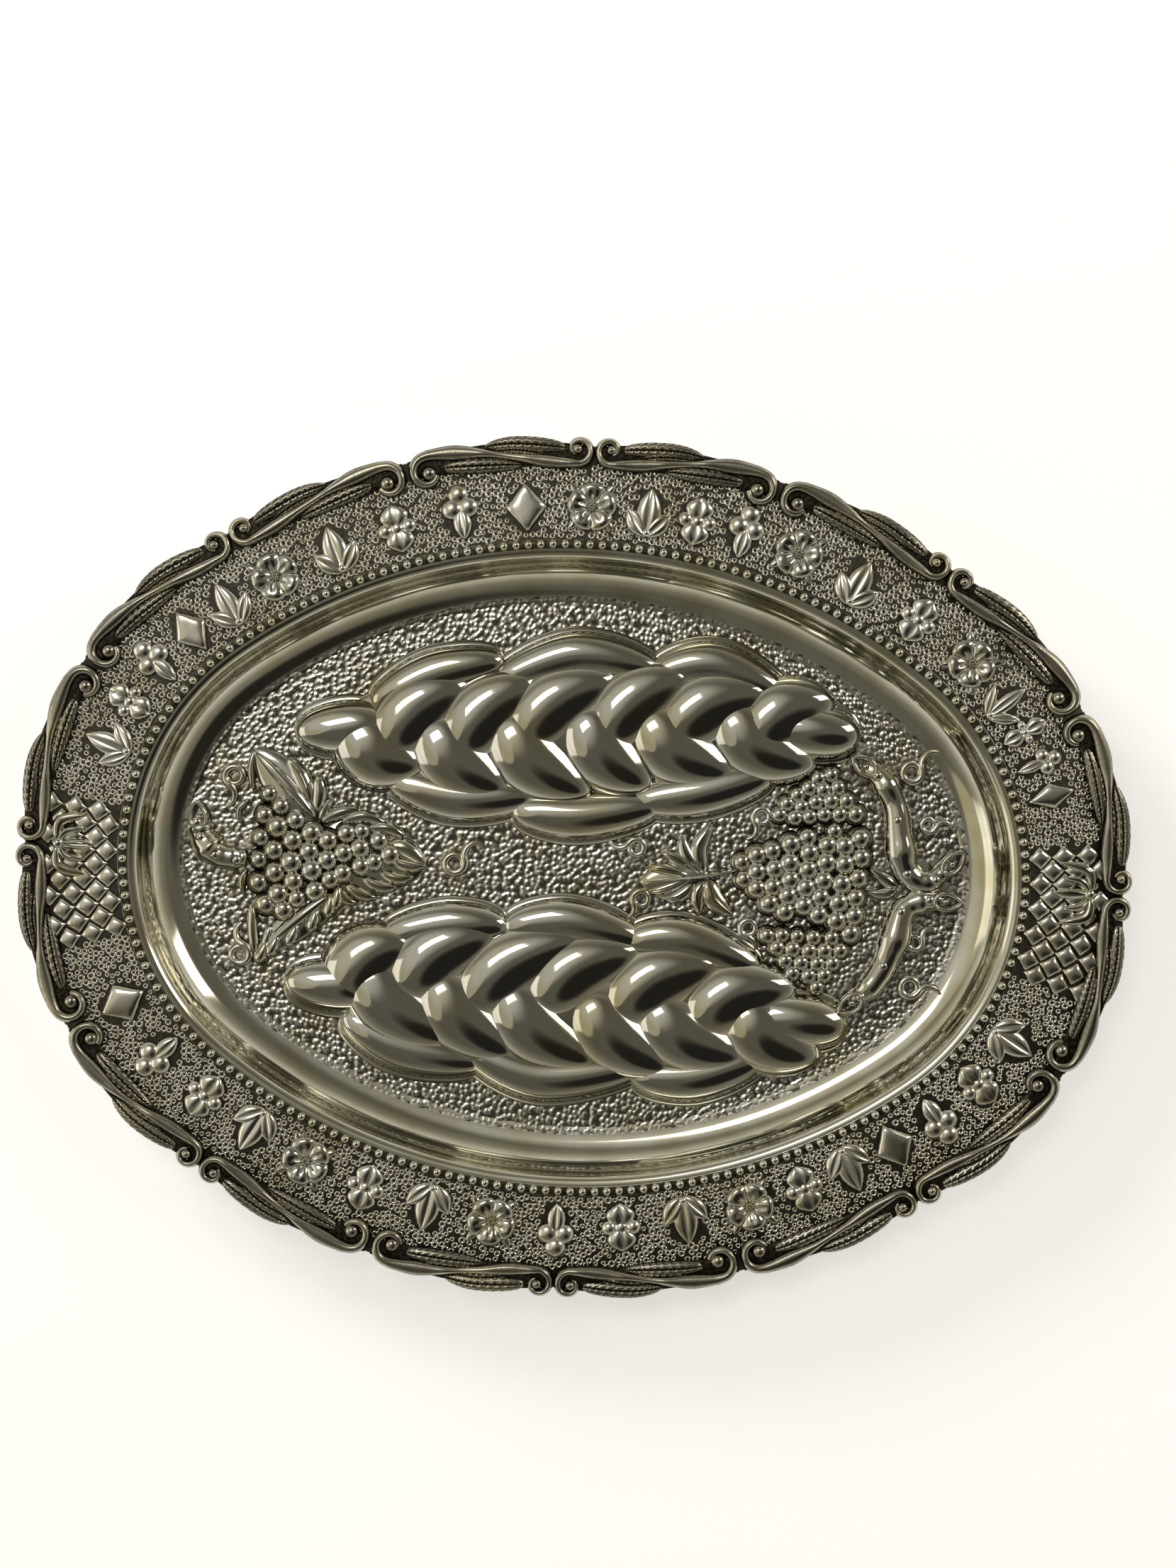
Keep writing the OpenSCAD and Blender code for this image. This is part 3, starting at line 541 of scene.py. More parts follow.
def way_and_left(step):
    """A step made 1 long, and the same step turned to the left."""
    way = step / np.linalg.norm(step)
    return way, np.array([-way[1], way[0]])


# %% Raise metal along a path


def raised(path, half, height, base=0.0, full=2.0, across=12, cut=None, lean=0.0, foot=0.5):
    """Metal raised along a path. A lean over 0 is to the left. A foot of 0.5 is steep, 1 runs out flat."""
    path = np.asarray(path, float)
    n, m = len(path), across + 1
    ahead = np.gradient(path, axis=0)
    ahead /= np.maximum(np.linalg.norm(ahead, axis=1, keepdims=True), 1e-9)
    left = np.stack([-ahead[:, 1], ahead[:, 0]], -1)
    v = -np.cos(np.linspace(0, math.pi, m))
    t = np.where(v > lean, (v - lean) / (1 - lean), (lean - v) / (1 + lean))
    crown = np.broadcast_to((1 - t ** full).clip(0) ** foot, (n, m))
    shade = 1 - crown
    if cut is not None:
        depth = cut(np.linspace(0, 1, n)[:, None], v[None, :])
        crown, shade = crown * (1 - depth), (shade + 2 * depth).clip(0, 1)
    half, height = np.broadcast_to(half, n), np.broadcast_to(height, n)
    flat = path[:, None, :] + left[:, None, :] * (half[:, None] * v)[..., None]
    points = lifted(flat, base + height[:, None] * crown).reshape(-1, 3)
    faces = [[i + j, i + m + j, i + m + j + 1, i + j + 1]
             for i in range(0, (n - 1) * m, m) for j in range(across)]
    faces += [[i, i + across, i + m + across, i + m] for i in range(0, (n - 1) * m, m)]
    faces += [list(range(m)), list(range((n - 1) * m, n * m))]
    return points, faces, shade.reshape(-1)


def button(at, r, h, base=0.0, steps=10):
    """A round button, raised along its own diameter."""
    path = [[at[0] - r * math.cos(a), at[1]] for a in np.linspace(0, math.pi, steps + 1)]
    swell = np.sin(np.linspace(0, math.pi, steps + 1))
    return raised(path, r * swell, h * swell, base, across=steps)


def midrib(vein, wide, run=0.5):
    """The groove along the middle of a leaf, which dies away at both ends."""
    def cut(u, v):
        return vein * np.exp(-(v / wide) ** 2) * np.sin(math.pi * u).clip(0) ** run
    return cut


def moved_to(parts, at, turn, up):
    """Turns parts about Z and moves them to a place, lifted by up."""
    c, s = math.cos(turn), math.sin(turn)
    result = []
    for points, faces, hollow in parts:
        x, y, z = points.T
        there = np.stack([at[0] + c * x - s * y, at[1] + s * x + c * y, z + up], -1)
        result.append((there, faces, hollow))
    return result


print("a test strand has", len(raised([[0, 0], [5, 0], [9, 1]], [0, 2, 0], [0, 1, 0])[0]), "points")

# %% [markdown]
# ## Two plaited loaves
# Each loaf shows two rows of strands that meet on its middle line like the barbs of a feather, over
# three longer strands along each edge. A strand is a teardrop: a broad round head by the middle line and
# a tail that runs out to the edge. Its foot runs out softly and its neighbours cross it, so the creases
# come from the crossing of the forms themselves. Each strand is written as where its head bulges and
# where its tail ends.

# %% The strands of the two loaves
UPPER_LOAF = {
    "out": [
        [(-72.6, 45.8), (-43.5, 64.4)], [(-46.8, 45.7), (-17.8, 67.1)], [(-22.8, 51.2), (10.7, 69.3)],
        [(7.2, 52.7), (38.4, 72.1)], [(32.8, 55.4), (68.0, 67.1)], [(63.6, 54.7), (91.0, 64.7)]],
    "in": [
        [(-84.4, 42.1), (-58.6, 35.0)], [(-56.7, 43.7), (-27.3, 28.0)], [(-29.7, 46.5), (2.7, 28.1)],
        [(-1.3, 50.8), (25.4, 32.1)], [(23.1, 50.6), (55.9, 37.9)], [(53.0, 53.5), (85.0, 42.2)]],
    "edge_out": [
        [(-77.5, 57.7), (-55.5, 74.7), (-29.2, 76.5)], [(-33.6, 67.8), (-3.0, 84.3), (28.8, 75.1)],
        [(24.2, 73.9), (48.6, 83.1), (76.1, 66.7)]],
    "edge_in": [
        [(-70.7, 27.5), (-45.3, 16.3), (-15.8, 23.2)], [(-24.5, 17.9), (0.7, 11.8), (31.0, 22.2)],
        [(20.1, 23.2), (45.2, 22.6), (72.4, 36.1)]],
    "tips": [[(-105.5, 44.4), (-90.0, 46.5), (-70.0, 49.2)], [(103.5, 53.0), (90.0, 53.6), (68.0, 55.0)]],
}
LOWER_LOAF = {
    "out": [
        [(-84.7, -45.3), (-59.6, -31.5)], [(-61.8, -42.8), (-28.9, -27.0)],
        [(-37.9, -47.2), (4.4, -26.8)], [(-10.8, -45.5), (24.2, -30.8)], [(17.8, -47.5), (54.5, -34.3)],
        [(48.1, -49.7), (82.0, -41.6)]],
    "in": [
        [(-78.5, -47.3), (-41.3, -65.6)], [(-50.6, -50.3), (-19.6, -69.5)],
        [(-24.7, -53.3), (10.5, -70.9)], [(5.4, -54.7), (38.5, -72.3)], [(30.5, -56.3), (65.3, -66.6)],
        [(63.4, -54.6), (91.9, -65.5)]],
    "edge_out": [
        [(-70.2, -27.3), (-45.2, -17.4), (-22.9, -21.8)], [(-25.4, -21.8), (-0.9, -14.2), (27.4, -25.1)],
        [(19.1, -25.0), (42.2, -18.8), (71.2, -33.6)]],
    "edge_in": [
        [(-82.9, -60.4), (-60.7, -77.0), (-30.2, -76.6)], [(-39.5, -69.0), (-8.8, -85.4), (30.6, -74.3)],
        [(24.0, -78.1), (48.3, -82.6), (74.0, -68.9)]],
    "tips": [
        [(-105.2, -47.3), (-90.0, -48.2), (-70.0, -49.0)],
        [(104.2, -54.5), (90.0, -53.4), (66.0, -52.0)]],
}

# %% Shape the strands
LOAF_H, STRAND_HALF, EDGE_HALF, EDGE_H, LEDGE_H = 9.5, 15.4, 9.2, 6.4, 1.5


def strand(head, tail, way):
    """One teardrop of dough, from the middle line out to the edge of the loaf."""
    head, tail = np.array(head), np.array(tail)
    along, left = way_and_left(tail - head)
    side = way * left
    bend = head * 0.62 + tail * 0.38 + 0.6 * side
    path = curve([head - 3 * along - 9 * side, bend, tail + 3 * along], 30)
    high = LOAF_H * (plump(30, 0.44, 0.42, 0.5) * np.linspace(1.0, 0.86, 31))
    return raised(path, STRAND_HALF * plump(30, 0.46, 0.5, 0.85), high, FLOOR_Z, 2.1, 26,
                  lean=way * 0.12, foot=0.68)


def edge_strand(points, way):
    """A long low strand along the edge, and the narrow ledge of sheet that shows outside it."""
    a, b, c = [np.array(p) for p in points]
    inward = np.array([0.0, -6.5 * way])
    path = curve([a + inward * 0.3, b + inward, c + inward * 0.3], 28)
    swell = plump(28, 0.5, 0.5, 0.5)
    body = raised(path, EDGE_HALF * swell, EDGE_H * plump(28, 0.5, 0.35, 0.35), FLOOR_Z, 2.2, 20, foot=0.62)
    ledge = raised(path, 8.6 * swell + 2.2 * swell ** 0.3, LEDGE_H * swell ** 0.2, FLOOR_Z, 6.0, 10)
    return [body, ledge]


def loaf(name, plan, node):
    """All the strands of one loaf, its two tips and a low core."""
    parts = [strand(head, tail, 1) for head, tail in plan["out"]]
    parts += [strand(head, tail, -1) for head, tail in plan["in"]]
    for row, way in (("edge_out", 1), ("edge_in", -1)):
        for points in plan[row]:
            parts += edge_strand(points, way)
    for points in plan["tips"]:
        path = curve(points, 24)
        half, high = 10.4 * plump(24, 0.6, 0.62, 0.5), 8.2 * plump(24, 0.6, 0.42, 0.42)
        parts.append(raised(path, half, high, FLOOR_Z, across=20))
        parts.append(raised(path, 12.4 * plump(24, 0.6), LEDGE_H * plump(24, 0.5, 0.1, 0.1), FLOOR_Z, 6))
    # A low core closes the small gaps between the heads along the middle line
    first, last = plan["tips"]
    core = curve([first[1], np.mean([first[2], last[2]], 0), last[1]], 24)
    parts.append(raised(core, 22 * plump(24), 6.0 * plump(24), FLOOR_Z))
    make_piece(name, parts, BURNISHED, [node])


loaf("plaited_loaf_upper", UPPER_LOAF, "upper_loaf")
loaf("plaited_loaf_lower", LOWER_LOAF, "lower_loaf")

# %% [markdown]
# ## The scroll border
# The border is built as sixteen cast lengths. Each is an S: a small curl at the outer edge, a
# rail that crosses over, and a large curl that turns inward. The rail is a round bar with a shallow
# groove where it is broad. Feathered leaves with cuts like a herringbone fill the spaces on both sides
# of it. Every other length is mirrored, so curls meet in pairs.

# %% The rail of one length
LENGTHS = 16
BORDER_LINE, RAIL_W, RAIL_H, SMALL_R, LARGE_R, JOINT = 32.0, 3.2, 3.2, 5.0, 6.0, 0.3
RUN = 4 * quarter(BORDER_LINE) / LENGTHS
SMALL_AT = np.array([0.84 * SMALL_R + 0.42 * RAIL_W + JOINT / 2, BORDER_LINE + 0.4 * SMALL_R])
LARGE_AT = np.array([RUN - 0.92 * LARGE_R - RAIL_W / 2 - JOINT / 2, BORDER_LINE - 0.27 * LARGE_R])
INNER, OUTER = SMALL_AT[1] - SMALL_R, LARGE_AT[1] + LARGE_R
print(f"one length of the border runs {RUN:.1f} mm")


def border_rail():
    """The S of one length, as places along the run and out from the beads, with its half-widths."""
    t = np.linspace(1, 0, 26)
    small = arc(SMALL_AT, SMALL_R * (1 - 0.6 * t), np.radians(-90 - 330 * t))
    u = np.linspace(0, 1, 36)[1:-1]
    rise = u * u * (3 - 2 * u)
    body = np.stack([SMALL_AT[0] + u * (LARGE_AT[0] - SMALL_AT[0]), INNER + rise * (OUTER - INNER)], -1)
    w = np.linspace(0, 1, 24)
    large = arc(LARGE_AT, LARGE_R * (0.97 - 0.36 * w), np.radians(90 - 245 * w))
    # The rail is broadest along both edges of the border and thinner where it crosses between them
    broad = (1.05 + 0.25 * u) * (1 - 0.2 * np.exp(-((u - 0.5) / 0.16) ** 2))
    broad += 0.5 * np.exp(-((u - 0.2) / 0.13) ** 2) + 0.6 * np.exp(-((u - 0.8) / 0.13) ** 2)
    half = np.concatenate([1.05 - 0.45 * t, broad, 1.3 - 0.5 * w]) * RAIL_W / 2
    return np.concatenate([small, body, large]), half


def hollowed(half):
    """The groove along a broad rail. A narrow rail keeps a round back."""
    deep = 0.1 * ((half - 1.25) / 1.1).clip(0, 1)

    def cut(u, v):
        return np.interp(u, np.linspace(0, 1, len(half)), deep) * (1 - (v / 0.78) ** 2).clip(0)
    return cut


# %% The feathers and the whole border
MIDDLE = np.array([(SMALL_AT[0] + LARGE_AT[0]) / 2, BORDER_LINE + 0.2])
# Each feather: where it springs from, bends and ends, counted from the middle, half its width, and its cuts
FEATHERS = [
    [(6.0, 4.2), (-5.0, 4.4), (-23.0, 2.4), 2.9, 19],
    [(-7.0, -3.4), (5.0, -2.6), (21.5, -1.2), 2.8, 18],
    [(3.0, 2.2), (-5.5, 2.0), (-15.5, 0.2), 1.7, 13],
    [(-4.0, -1.0), (4.5, 0.0), (14.0, 1.0), 1.6, 13],
]
BED_LINE, BED_HALF, BED_H, BED_STEPS, CURL_H, FEATHER_H = 32.6, 4.8, 1.1, 40, 3.1, 2.9


def herringbone(count, depth):
    """Cuts that run back from the midrib of a feather on both sides."""
    def cut(u, v):
        saw = (u * count + np.abs(v) * 2.2) % 1.0
        rib = np.exp(-(v / 0.1) ** 2)
        return depth * np.sin(saw * math.pi) ** 4 * (1 - rib) * (np.abs(v) < 0.9) + 1.5 * rib * depth
    return cut


def border_length(index):
    """One cast length, laid along the oval, forward or mirrored."""
    start, way = (index * RUN, 1) if index % 2 == 0 else ((index + 1) * RUN, -1)

    def lay(path):
        path = np.asarray(path, float)
        return oval(start + way * path[:, 0], BORDER_LINE, path[:, 1])[0]

    path, half = border_rail()
    high = RAIL_H * np.minimum(half / (RAIL_W / 2), 1.15)
    parts = [raised(lay(path), half, high, RIM_Z, 2.1, 14, hollowed(half))]
    # The dark bed under the rail and the leaves closes the border from edge to edge
    bed = np.stack([np.linspace(1.0, RUN - 1.0, BED_STEPS), np.full(BED_STEPS, BED_LINE)], -1)
    bed_half = BED_HALF * np.sin(np.linspace(0, math.pi, BED_STEPS)).clip(0.2) ** 0.25
    points, faces, _ = raised(lay(bed), bed_half, BED_H, RIM_Z, 6)
    parts.append((points, faces, np.full(len(points), 0.55)))
    for centre, r in ((SMALL_AT + [0.3, 0.2], 2.2), (LARGE_AT + [-0.5, -0.3], 3.0)):
        parts.append(button(lay([centre])[0], r, CURL_H, RIM_Z))
    for root, bend, tip, width, cuts in FEATHERS:
        steps = 4 * cuts
        line = lay(curve([MIDDLE + p for p in (root, bend, tip)], steps))
        half = width * plump(steps, 0.66, 0.7, 0.45) + 0.05
        high = FEATHER_H * plump(steps, 0.6, 0.3, 0.35)
        points, faces, hollow = raised(line, half, high, RIM_Z, 3.0, 14, herringbone(cuts, 0.24))
        parts.append((points, faces, 0.85 * hollow))
    return parts


for i in range(LENGTHS):
    make_piece(f"scroll_border_{i + 1}", border_length(i), CAST, [f"border_section_{i + 1}"],
               sharp=70)

# %% [markdown]
# ## Flowers on the rim
# Seven flowers break the rim up. Each has five round petals with short creases at the heart, a small
# ringed seed in the middle, and four leaves that look out between the petals.

# %% Put parts on the rim
PLACE = ROUND / LENGTHS
BAND_LINE, MOTIF_L, MOTIF_H = 13.5, 18.0, 2.2


def on_rim(parts, place):
    """Sets parts on the rim, their Y axis outward, at a place counted in border lengths."""
    at, facing = oval(place * PLACE, 0, BAND_LINE)
    return moved_to(parts, at, float(facing) - math.pi / 2, RIM_Z)


def leaf(root, turn, length, half, height, full=2.0, vein=0.35, peak=0.5):
    """A pointed leaf with a cut midrib."""
    path = np.asarray(root) + heading(turn) * length * ease(18)[:, None]
    return raised(path, half * plump(18, peak, 0.8, 1.0), height * plump(18, peak, 0.3, 0.4), 0, full, 14,
                  midrib(vein, 0.14))


# %% Seven flowers
FLOWER_R, PETAL_H, PETAL_HALF = 7.4, 2.7, 4.9
FLOWER_PLACES = [0, 1.3, 2.55, 6.8, 8.4, 9.6, 14]
# Each leaf: the side it looks out on, and the turn it takes there
FLOWER_LEAVES = [(40, 12), (140, -12), (220, 12), (320, -12)]


def creased(u, v):
    """Three creases that run out from the heart of a petal."""
    return 0.55 * np.cos(v * math.pi * 2.5).clip(0) ** 2 * (1 - u / 0.62).clip(0) ** 0.7


def flower():
    """Petals, leaves and the ringed seed of one flower, lying flat."""
    parts = []
    for i in range(5):
        path = heading(90 + 72 * i) * (0.8 + (FLOWER_R + 1.0) * ease(18))[:, None]
        half, high = PETAL_HALF * plump(18, 0.62, 0.8, 0.5), PETAL_H * plump(18, 0.72, 0.8, 0.4)
        parts.append(raised(path, half, high, 0, 2.4, 20, creased))
    parts += [leaf(5.6 * heading(side), side + turn, 6.4, 1.7, 1.5) for side, turn in FLOWER_LEAVES]
    parts.append(raised(arc((0, 0), 1.0, np.linspace(0, 2 * math.pi, 17)), 0.55, 2.4, across=6))
    return parts + [button((0, 0), 0.8, 1.6, 0, 8)]


for i, place in enumerate(FLOWER_PLACES):
    make_piece(f"flower_{i + 1}", on_rim(flower(), place), BURNISHED, [f"rim_flower_{i + 1}"])

# %% [markdown]
# ## Ornaments between the flowers
# Smooth polished ornaments fill the rim between the flowers: a three-leaved spray, a pair of buds, a
# trefoil and a lozenge take turns. Their leaves have nearly flat tops and steep sides, and their buttons
# are round, so they catch the light as plain bright shapes against the dark matted ground.

# %% Four ornaments
# The tops of the ornaments, the lattices and the tendrils are rubbed clean, so they are the brightest
PLAIN = silver("plain_silver", "#f0eee6", "#2f2a21", 0.13, 0.45, (0.3, 0.9), 1.6, 0.012)
FLAT = 3.6


def flat_leaf(root, turn, length, half):
    """A leaf of an ornament."""
    return leaf(root, turn, length, half, MOTIF_H, FLAT, 0.25)


def spray(width):
    """Three leaves that spring from one button."""
    root = (0, -MOTIF_L / 2)
    parts = [flat_leaf(root, 90, MOTIF_L, width * 0.29)]
    parts += [flat_leaf(root, 90 - side * 40, MOTIF_L * 0.7, width * 0.23) for side in (-1, 1)]
    return parts + [button((0, root[1] + 1.6), 1.9, MOTIF_H + 0.2)]


def bud_pair(width):
    """Two leaves back to back, with three buttons across."""
    parts = [flat_leaf((0, 0), turn, MOTIF_L / 2, width * 0.34) for turn in (90, -90)]
    return parts + [button((side * width * 0.27, 0), width * 0.18, MOTIF_H) for side in (-1, 0, 1)]


def trefoil(width):
    """Three buttons on a leaf."""
    r = min(width / 3.5, MOTIF_L / 4.6)
    parts = [button((0.85 * r * math.cos(a), r * (1 + 0.85 * math.sin(a))), r, MOTIF_H + 0.2)
             for a in np.radians([90, 210, 330])]
    return parts + [flat_leaf((0, -MOTIF_L / 2), 90, MOTIF_L * 0.66, width * 0.22)]


def lozenge(width):
    """One pointed plate."""
    y = np.linspace(-1, 1, 17)
    path = np.stack([0 * y, MOTIF_L / 2 * y], -1)
    high = MOTIF_H * (1 - np.abs(y) ** 6).clip(0) ** 0.5
    return [raised(path, 0.48 * width * (1 - np.abs(y)), high, 0, FLAT)]


# %% Set the ornaments along the rim
LATTICE_PLACES, LATTICE_SPAN, FLOWER_SPAN, AIR = [4.15, 11.85], 0.82, 0.4, 0.6
F, L, S = FLOWER_PLACES, LATTICE_PLACES, LATTICE_SPAN / 2
# Each run of ornaments: where it begins and ends, and how many there are
RUNS = [(F[0], F[1], 3), (F[1], F[2], 2), (F[2], L[0] - S, 4), (L[0] + S, F[3], 6), (F[3], F[4], 3),
        (F[4], F[5], 2), (F[5], L[1] - S, 4), (L[1] + S, F[6], 5), (F[6], LENGTHS, 4)]
# What stands on the rim: its place, and half its width and height
covered = [(place, FLOWER_R + 1.6, FLOWER_R + 1.6) for place in FLOWER_PLACES]
for i, (begin, end, count) in enumerate(RUNS):
    first = begin + FLOWER_SPAN / 2
    step = (end - FLOWER_SPAN / 2 - first) / count
    width = min(step * PLACE - AIR, MOTIF_L * 0.9)
    parts = []
    for j in range(count):
        shape = (spray, bud_pair, trefoil, lozenge)[j % 4](width)
        parts += on_rim(shape, first + step * (j + 0.5))
        covered.append((first + step * (j + 0.5), 0.4 * width, MOTIF_L / 2 + 0.4))
    make_piece(f"ornaments_{i + 1}", parts, PLAIN, [f"rim_ornaments_{i + 1}"])

# %% [markdown]
# ## Lattice and posies
# At both ends of the tray the ground is cut into lozenges like a quilt, with a posy of curled leaves on
# top whose tips look inward. One pillow-shaped lozenge is copied over points that carry the way they face.

# %% One lozenge and the lattice tree
PITCH, PILLOW_H = 8.8, 1.6
x = PITCH / 2 * np.linspace(-1, 1, 9)
pillow_high = PILLOW_H * (1 - (np.abs(x) / (PITCH / 2)) ** 3).clip(0) ** 0.5
points, faces, hollow = raised(np.stack([x, 0 * x], -1), PITCH / 2 - np.abs(x), pillow_high, 0, 3.0, 8)
pillow = carrier_mesh("pillow", points, faces=faces, hollow=0.8 * hollow)
pillow.data.shade_smooth()
tree, given = new_tree("lattice", Shape="Object", Finish="Material")
spots = add(tree, "GeometryNodeMeshToPoints", {"Mesh": given["Geometry"]})
angle = add(tree, "ShaderNodeCombineXYZ", {"Z": carried(tree, "facing")})
copy_shape(tree, given, spots, Rotation=add(tree, "FunctionNodeEulerToRotation", {0: angle}))

# %% Two lattices, each with its posy
POSY_PLACES, POSY_H, LATTICE_ROWS, LATTICE_LINE = [4, 12], 3.2, 6, 16.4
# The curled leaves of a posy on one side: where each bends and ends, and half its width
POSY_LEAVES = [((8.2, 9.0), (11.0, -1.5), 2.5), ((4.6, 6.2), (5.6, -0.5), 1.7)]
columns = int(LATTICE_SPAN * PLACE / PITCH)
for name, lattice_place, posy_place in zip(("right", "left"), LATTICE_PLACES, POSY_PLACES):
    places, ways = [], []
    for row in range(LATTICE_ROWS):
        for i in range(columns):
            s = lattice_place * PLACE + (i - (columns - 1) / 2 + (row % 2) / 2 - 0.25) * PITCH
            at, way = oval(s, 0, LATTICE_LINE + (row - (LATTICE_ROWS - 1) / 2) * PITCH / 2)
            places.append([at[0], at[1], RIM_Z])
            ways.append(float(way))
    spots_carrier = carrier_mesh("spots", places, facing=ways)
    grow(f"lattice_{name}", spots_carrier, tree, [f"{name}_lattice"], Shape=pillow, Finish=PLAIN)
    # Five leaves spring from the outer edge of the band and curl inward
    posy = [leaf((0, 10.5), -90, 14.5, 2.4, POSY_H, 2.0, 0.4, 0.6), button((0, 9.8), 2.6, 3.0)]
    for side in (-1, 1):
        for bend, tip, half in POSY_LEAVES:
            path = curve([(0.6 * side, 10.0), (bend[0] * side, bend[1]), (tip[0] * side, tip[1])], 20)
            wide, high = half * plump(20, 0.5, 0.6, 0.9), POSY_H * plump(20, 0.5, 0.3, 0.4)
            posy.append(raised(path, wide, high, 0, 2.0, 14, midrib(0.35, 0.16, 1)))
    make_piece(f"posy_{name}", on_rim(posy, posy_place), BURNISHED, [f"{name}_posy"])
bpy.data.objects.remove(pillow)

# %% [markdown]
# ## The matted ground
# Between the ornaments the rim is struck thousands of times with a small ring punch. The rings are
# scattered by a tree that keeps them a set distance apart, as a careful hand does. The ground they are
# scattered on is a band of the rim, left out under the flowers, ornaments and lattices. A ring has few
# faces, because there are so many.

# %% The band that is left free
STEPS = 600
band_out = np.linspace(2.4, 28.5, 19)
flat, _ = oval((np.arange(0, STEPS) * ROUND / STEPS)[:, None], 0, band_out[None, :])
band_points = lifted(flat, RIM_Z - 0.05).reshape(-1, 3)
k = len(band_out)
band_faces = []
for i in range(STEPS):
    place = (i + 0.5) / STEPS * LENGTHS
    if min(abs(place - lattice_place) for lattice_place in LATTICE_PLACES) < LATTICE_SPAN / 2:
        continue
    near = [(((place - spot + LENGTHS / 2) % LENGTHS - LENGTHS / 2) * PLACE / half, high)
            for spot, half, high in covered]
    for j in range(k - 1):
        up = (band_out[j] + band_out[j + 1]) / 2 - BAND_LINE
        if not any(gap ** 2 + (up / high) ** 2 < 1 for gap, high in near):
            a, b = i * k + j, ((i + 1) % STEPS) * k + j
            band_faces.append([a, a + 1, b + 1, b])
print("free ground:", len(band_faces), "faces of", STEPS * (k - 1))

# %% Strike the rings
STRUCK = silver("struck_silver", "#e8e5da", "#38342b", 0.12, 0.5, (0.4, 1.0), 0.4, 0.02)
APART = 1.85
punch = lathe("punch", [[1.5, 0.0, 0.9], [1.18, 0.45, 0.0], [0.85, 0.4, 0.1], [0.5, 0.04, 1.0]], 9)
tree, given = new_tree("matting", Shape="Object", Apart="Float", Finish="Material", Seed="Int")
strikes = add(tree, "GeometryNodeDistributePointsOnFaces",
              {"Mesh": given["Geometry"], "Distance Min": given["Apart"], "Density Max": 900000.0,
               "Seed": given["Seed"]}, distribute_method="POISSON")
size = add(tree, "FunctionNodeRandomValue", {2: 0.6, 3: 1.05, "Seed": given["Seed"]}, data_type="FLOAT")
copy_shape(tree, given, strikes, Scale=size.outputs[1])
band_carrier = carrier_mesh("band", band_points, faces=band_faces)
grow("matting_rings", band_carrier, tree, ["tray_sheet"], "sheet_silver", Shape=punch,
     Apart=APART * MM, Finish=STRUCK, Seed=7)
bpy.data.objects.remove(punch)

# %% [markdown]
# ## Bunches of grapes
# A bunch is a heap of round berries on a dark backing. Its film is partly patina and partly painted
# shade in the gaps between the berries. The berries lie close together and differ a little in size, and
# the heap is highest in its middle. The tree copies one berry to each point and takes its size from the
# point.

# %% One berry and the bunch tree
# The third number is the hollow: the lower edge of each berry is darkened, partly as patina and partly as
# painted shade where the berries meet
berry_outline = [[math.cos(a), 0.74 * math.sin(a), min(max(1.05 - 1.7 * math.sin(a), 0), 1)]
                 for a in np.radians([-20, 5, 25, 42, 58, 74])]
berry = lathe("berry", berry_outline, 18)
tree, given = new_tree("bunch", Shape="Object", Finish="Material")
spots = add(tree, "GeometryNodeMeshToPoints", {"Mesh": given["Geometry"]})
copy_shape(tree, given, spots, Scale=carried(tree, "swell"))

# %% Four bunches
BERRY_SWELL, BACKING_SWELL, BACKING_H = 1.17, 1.5, 1.1
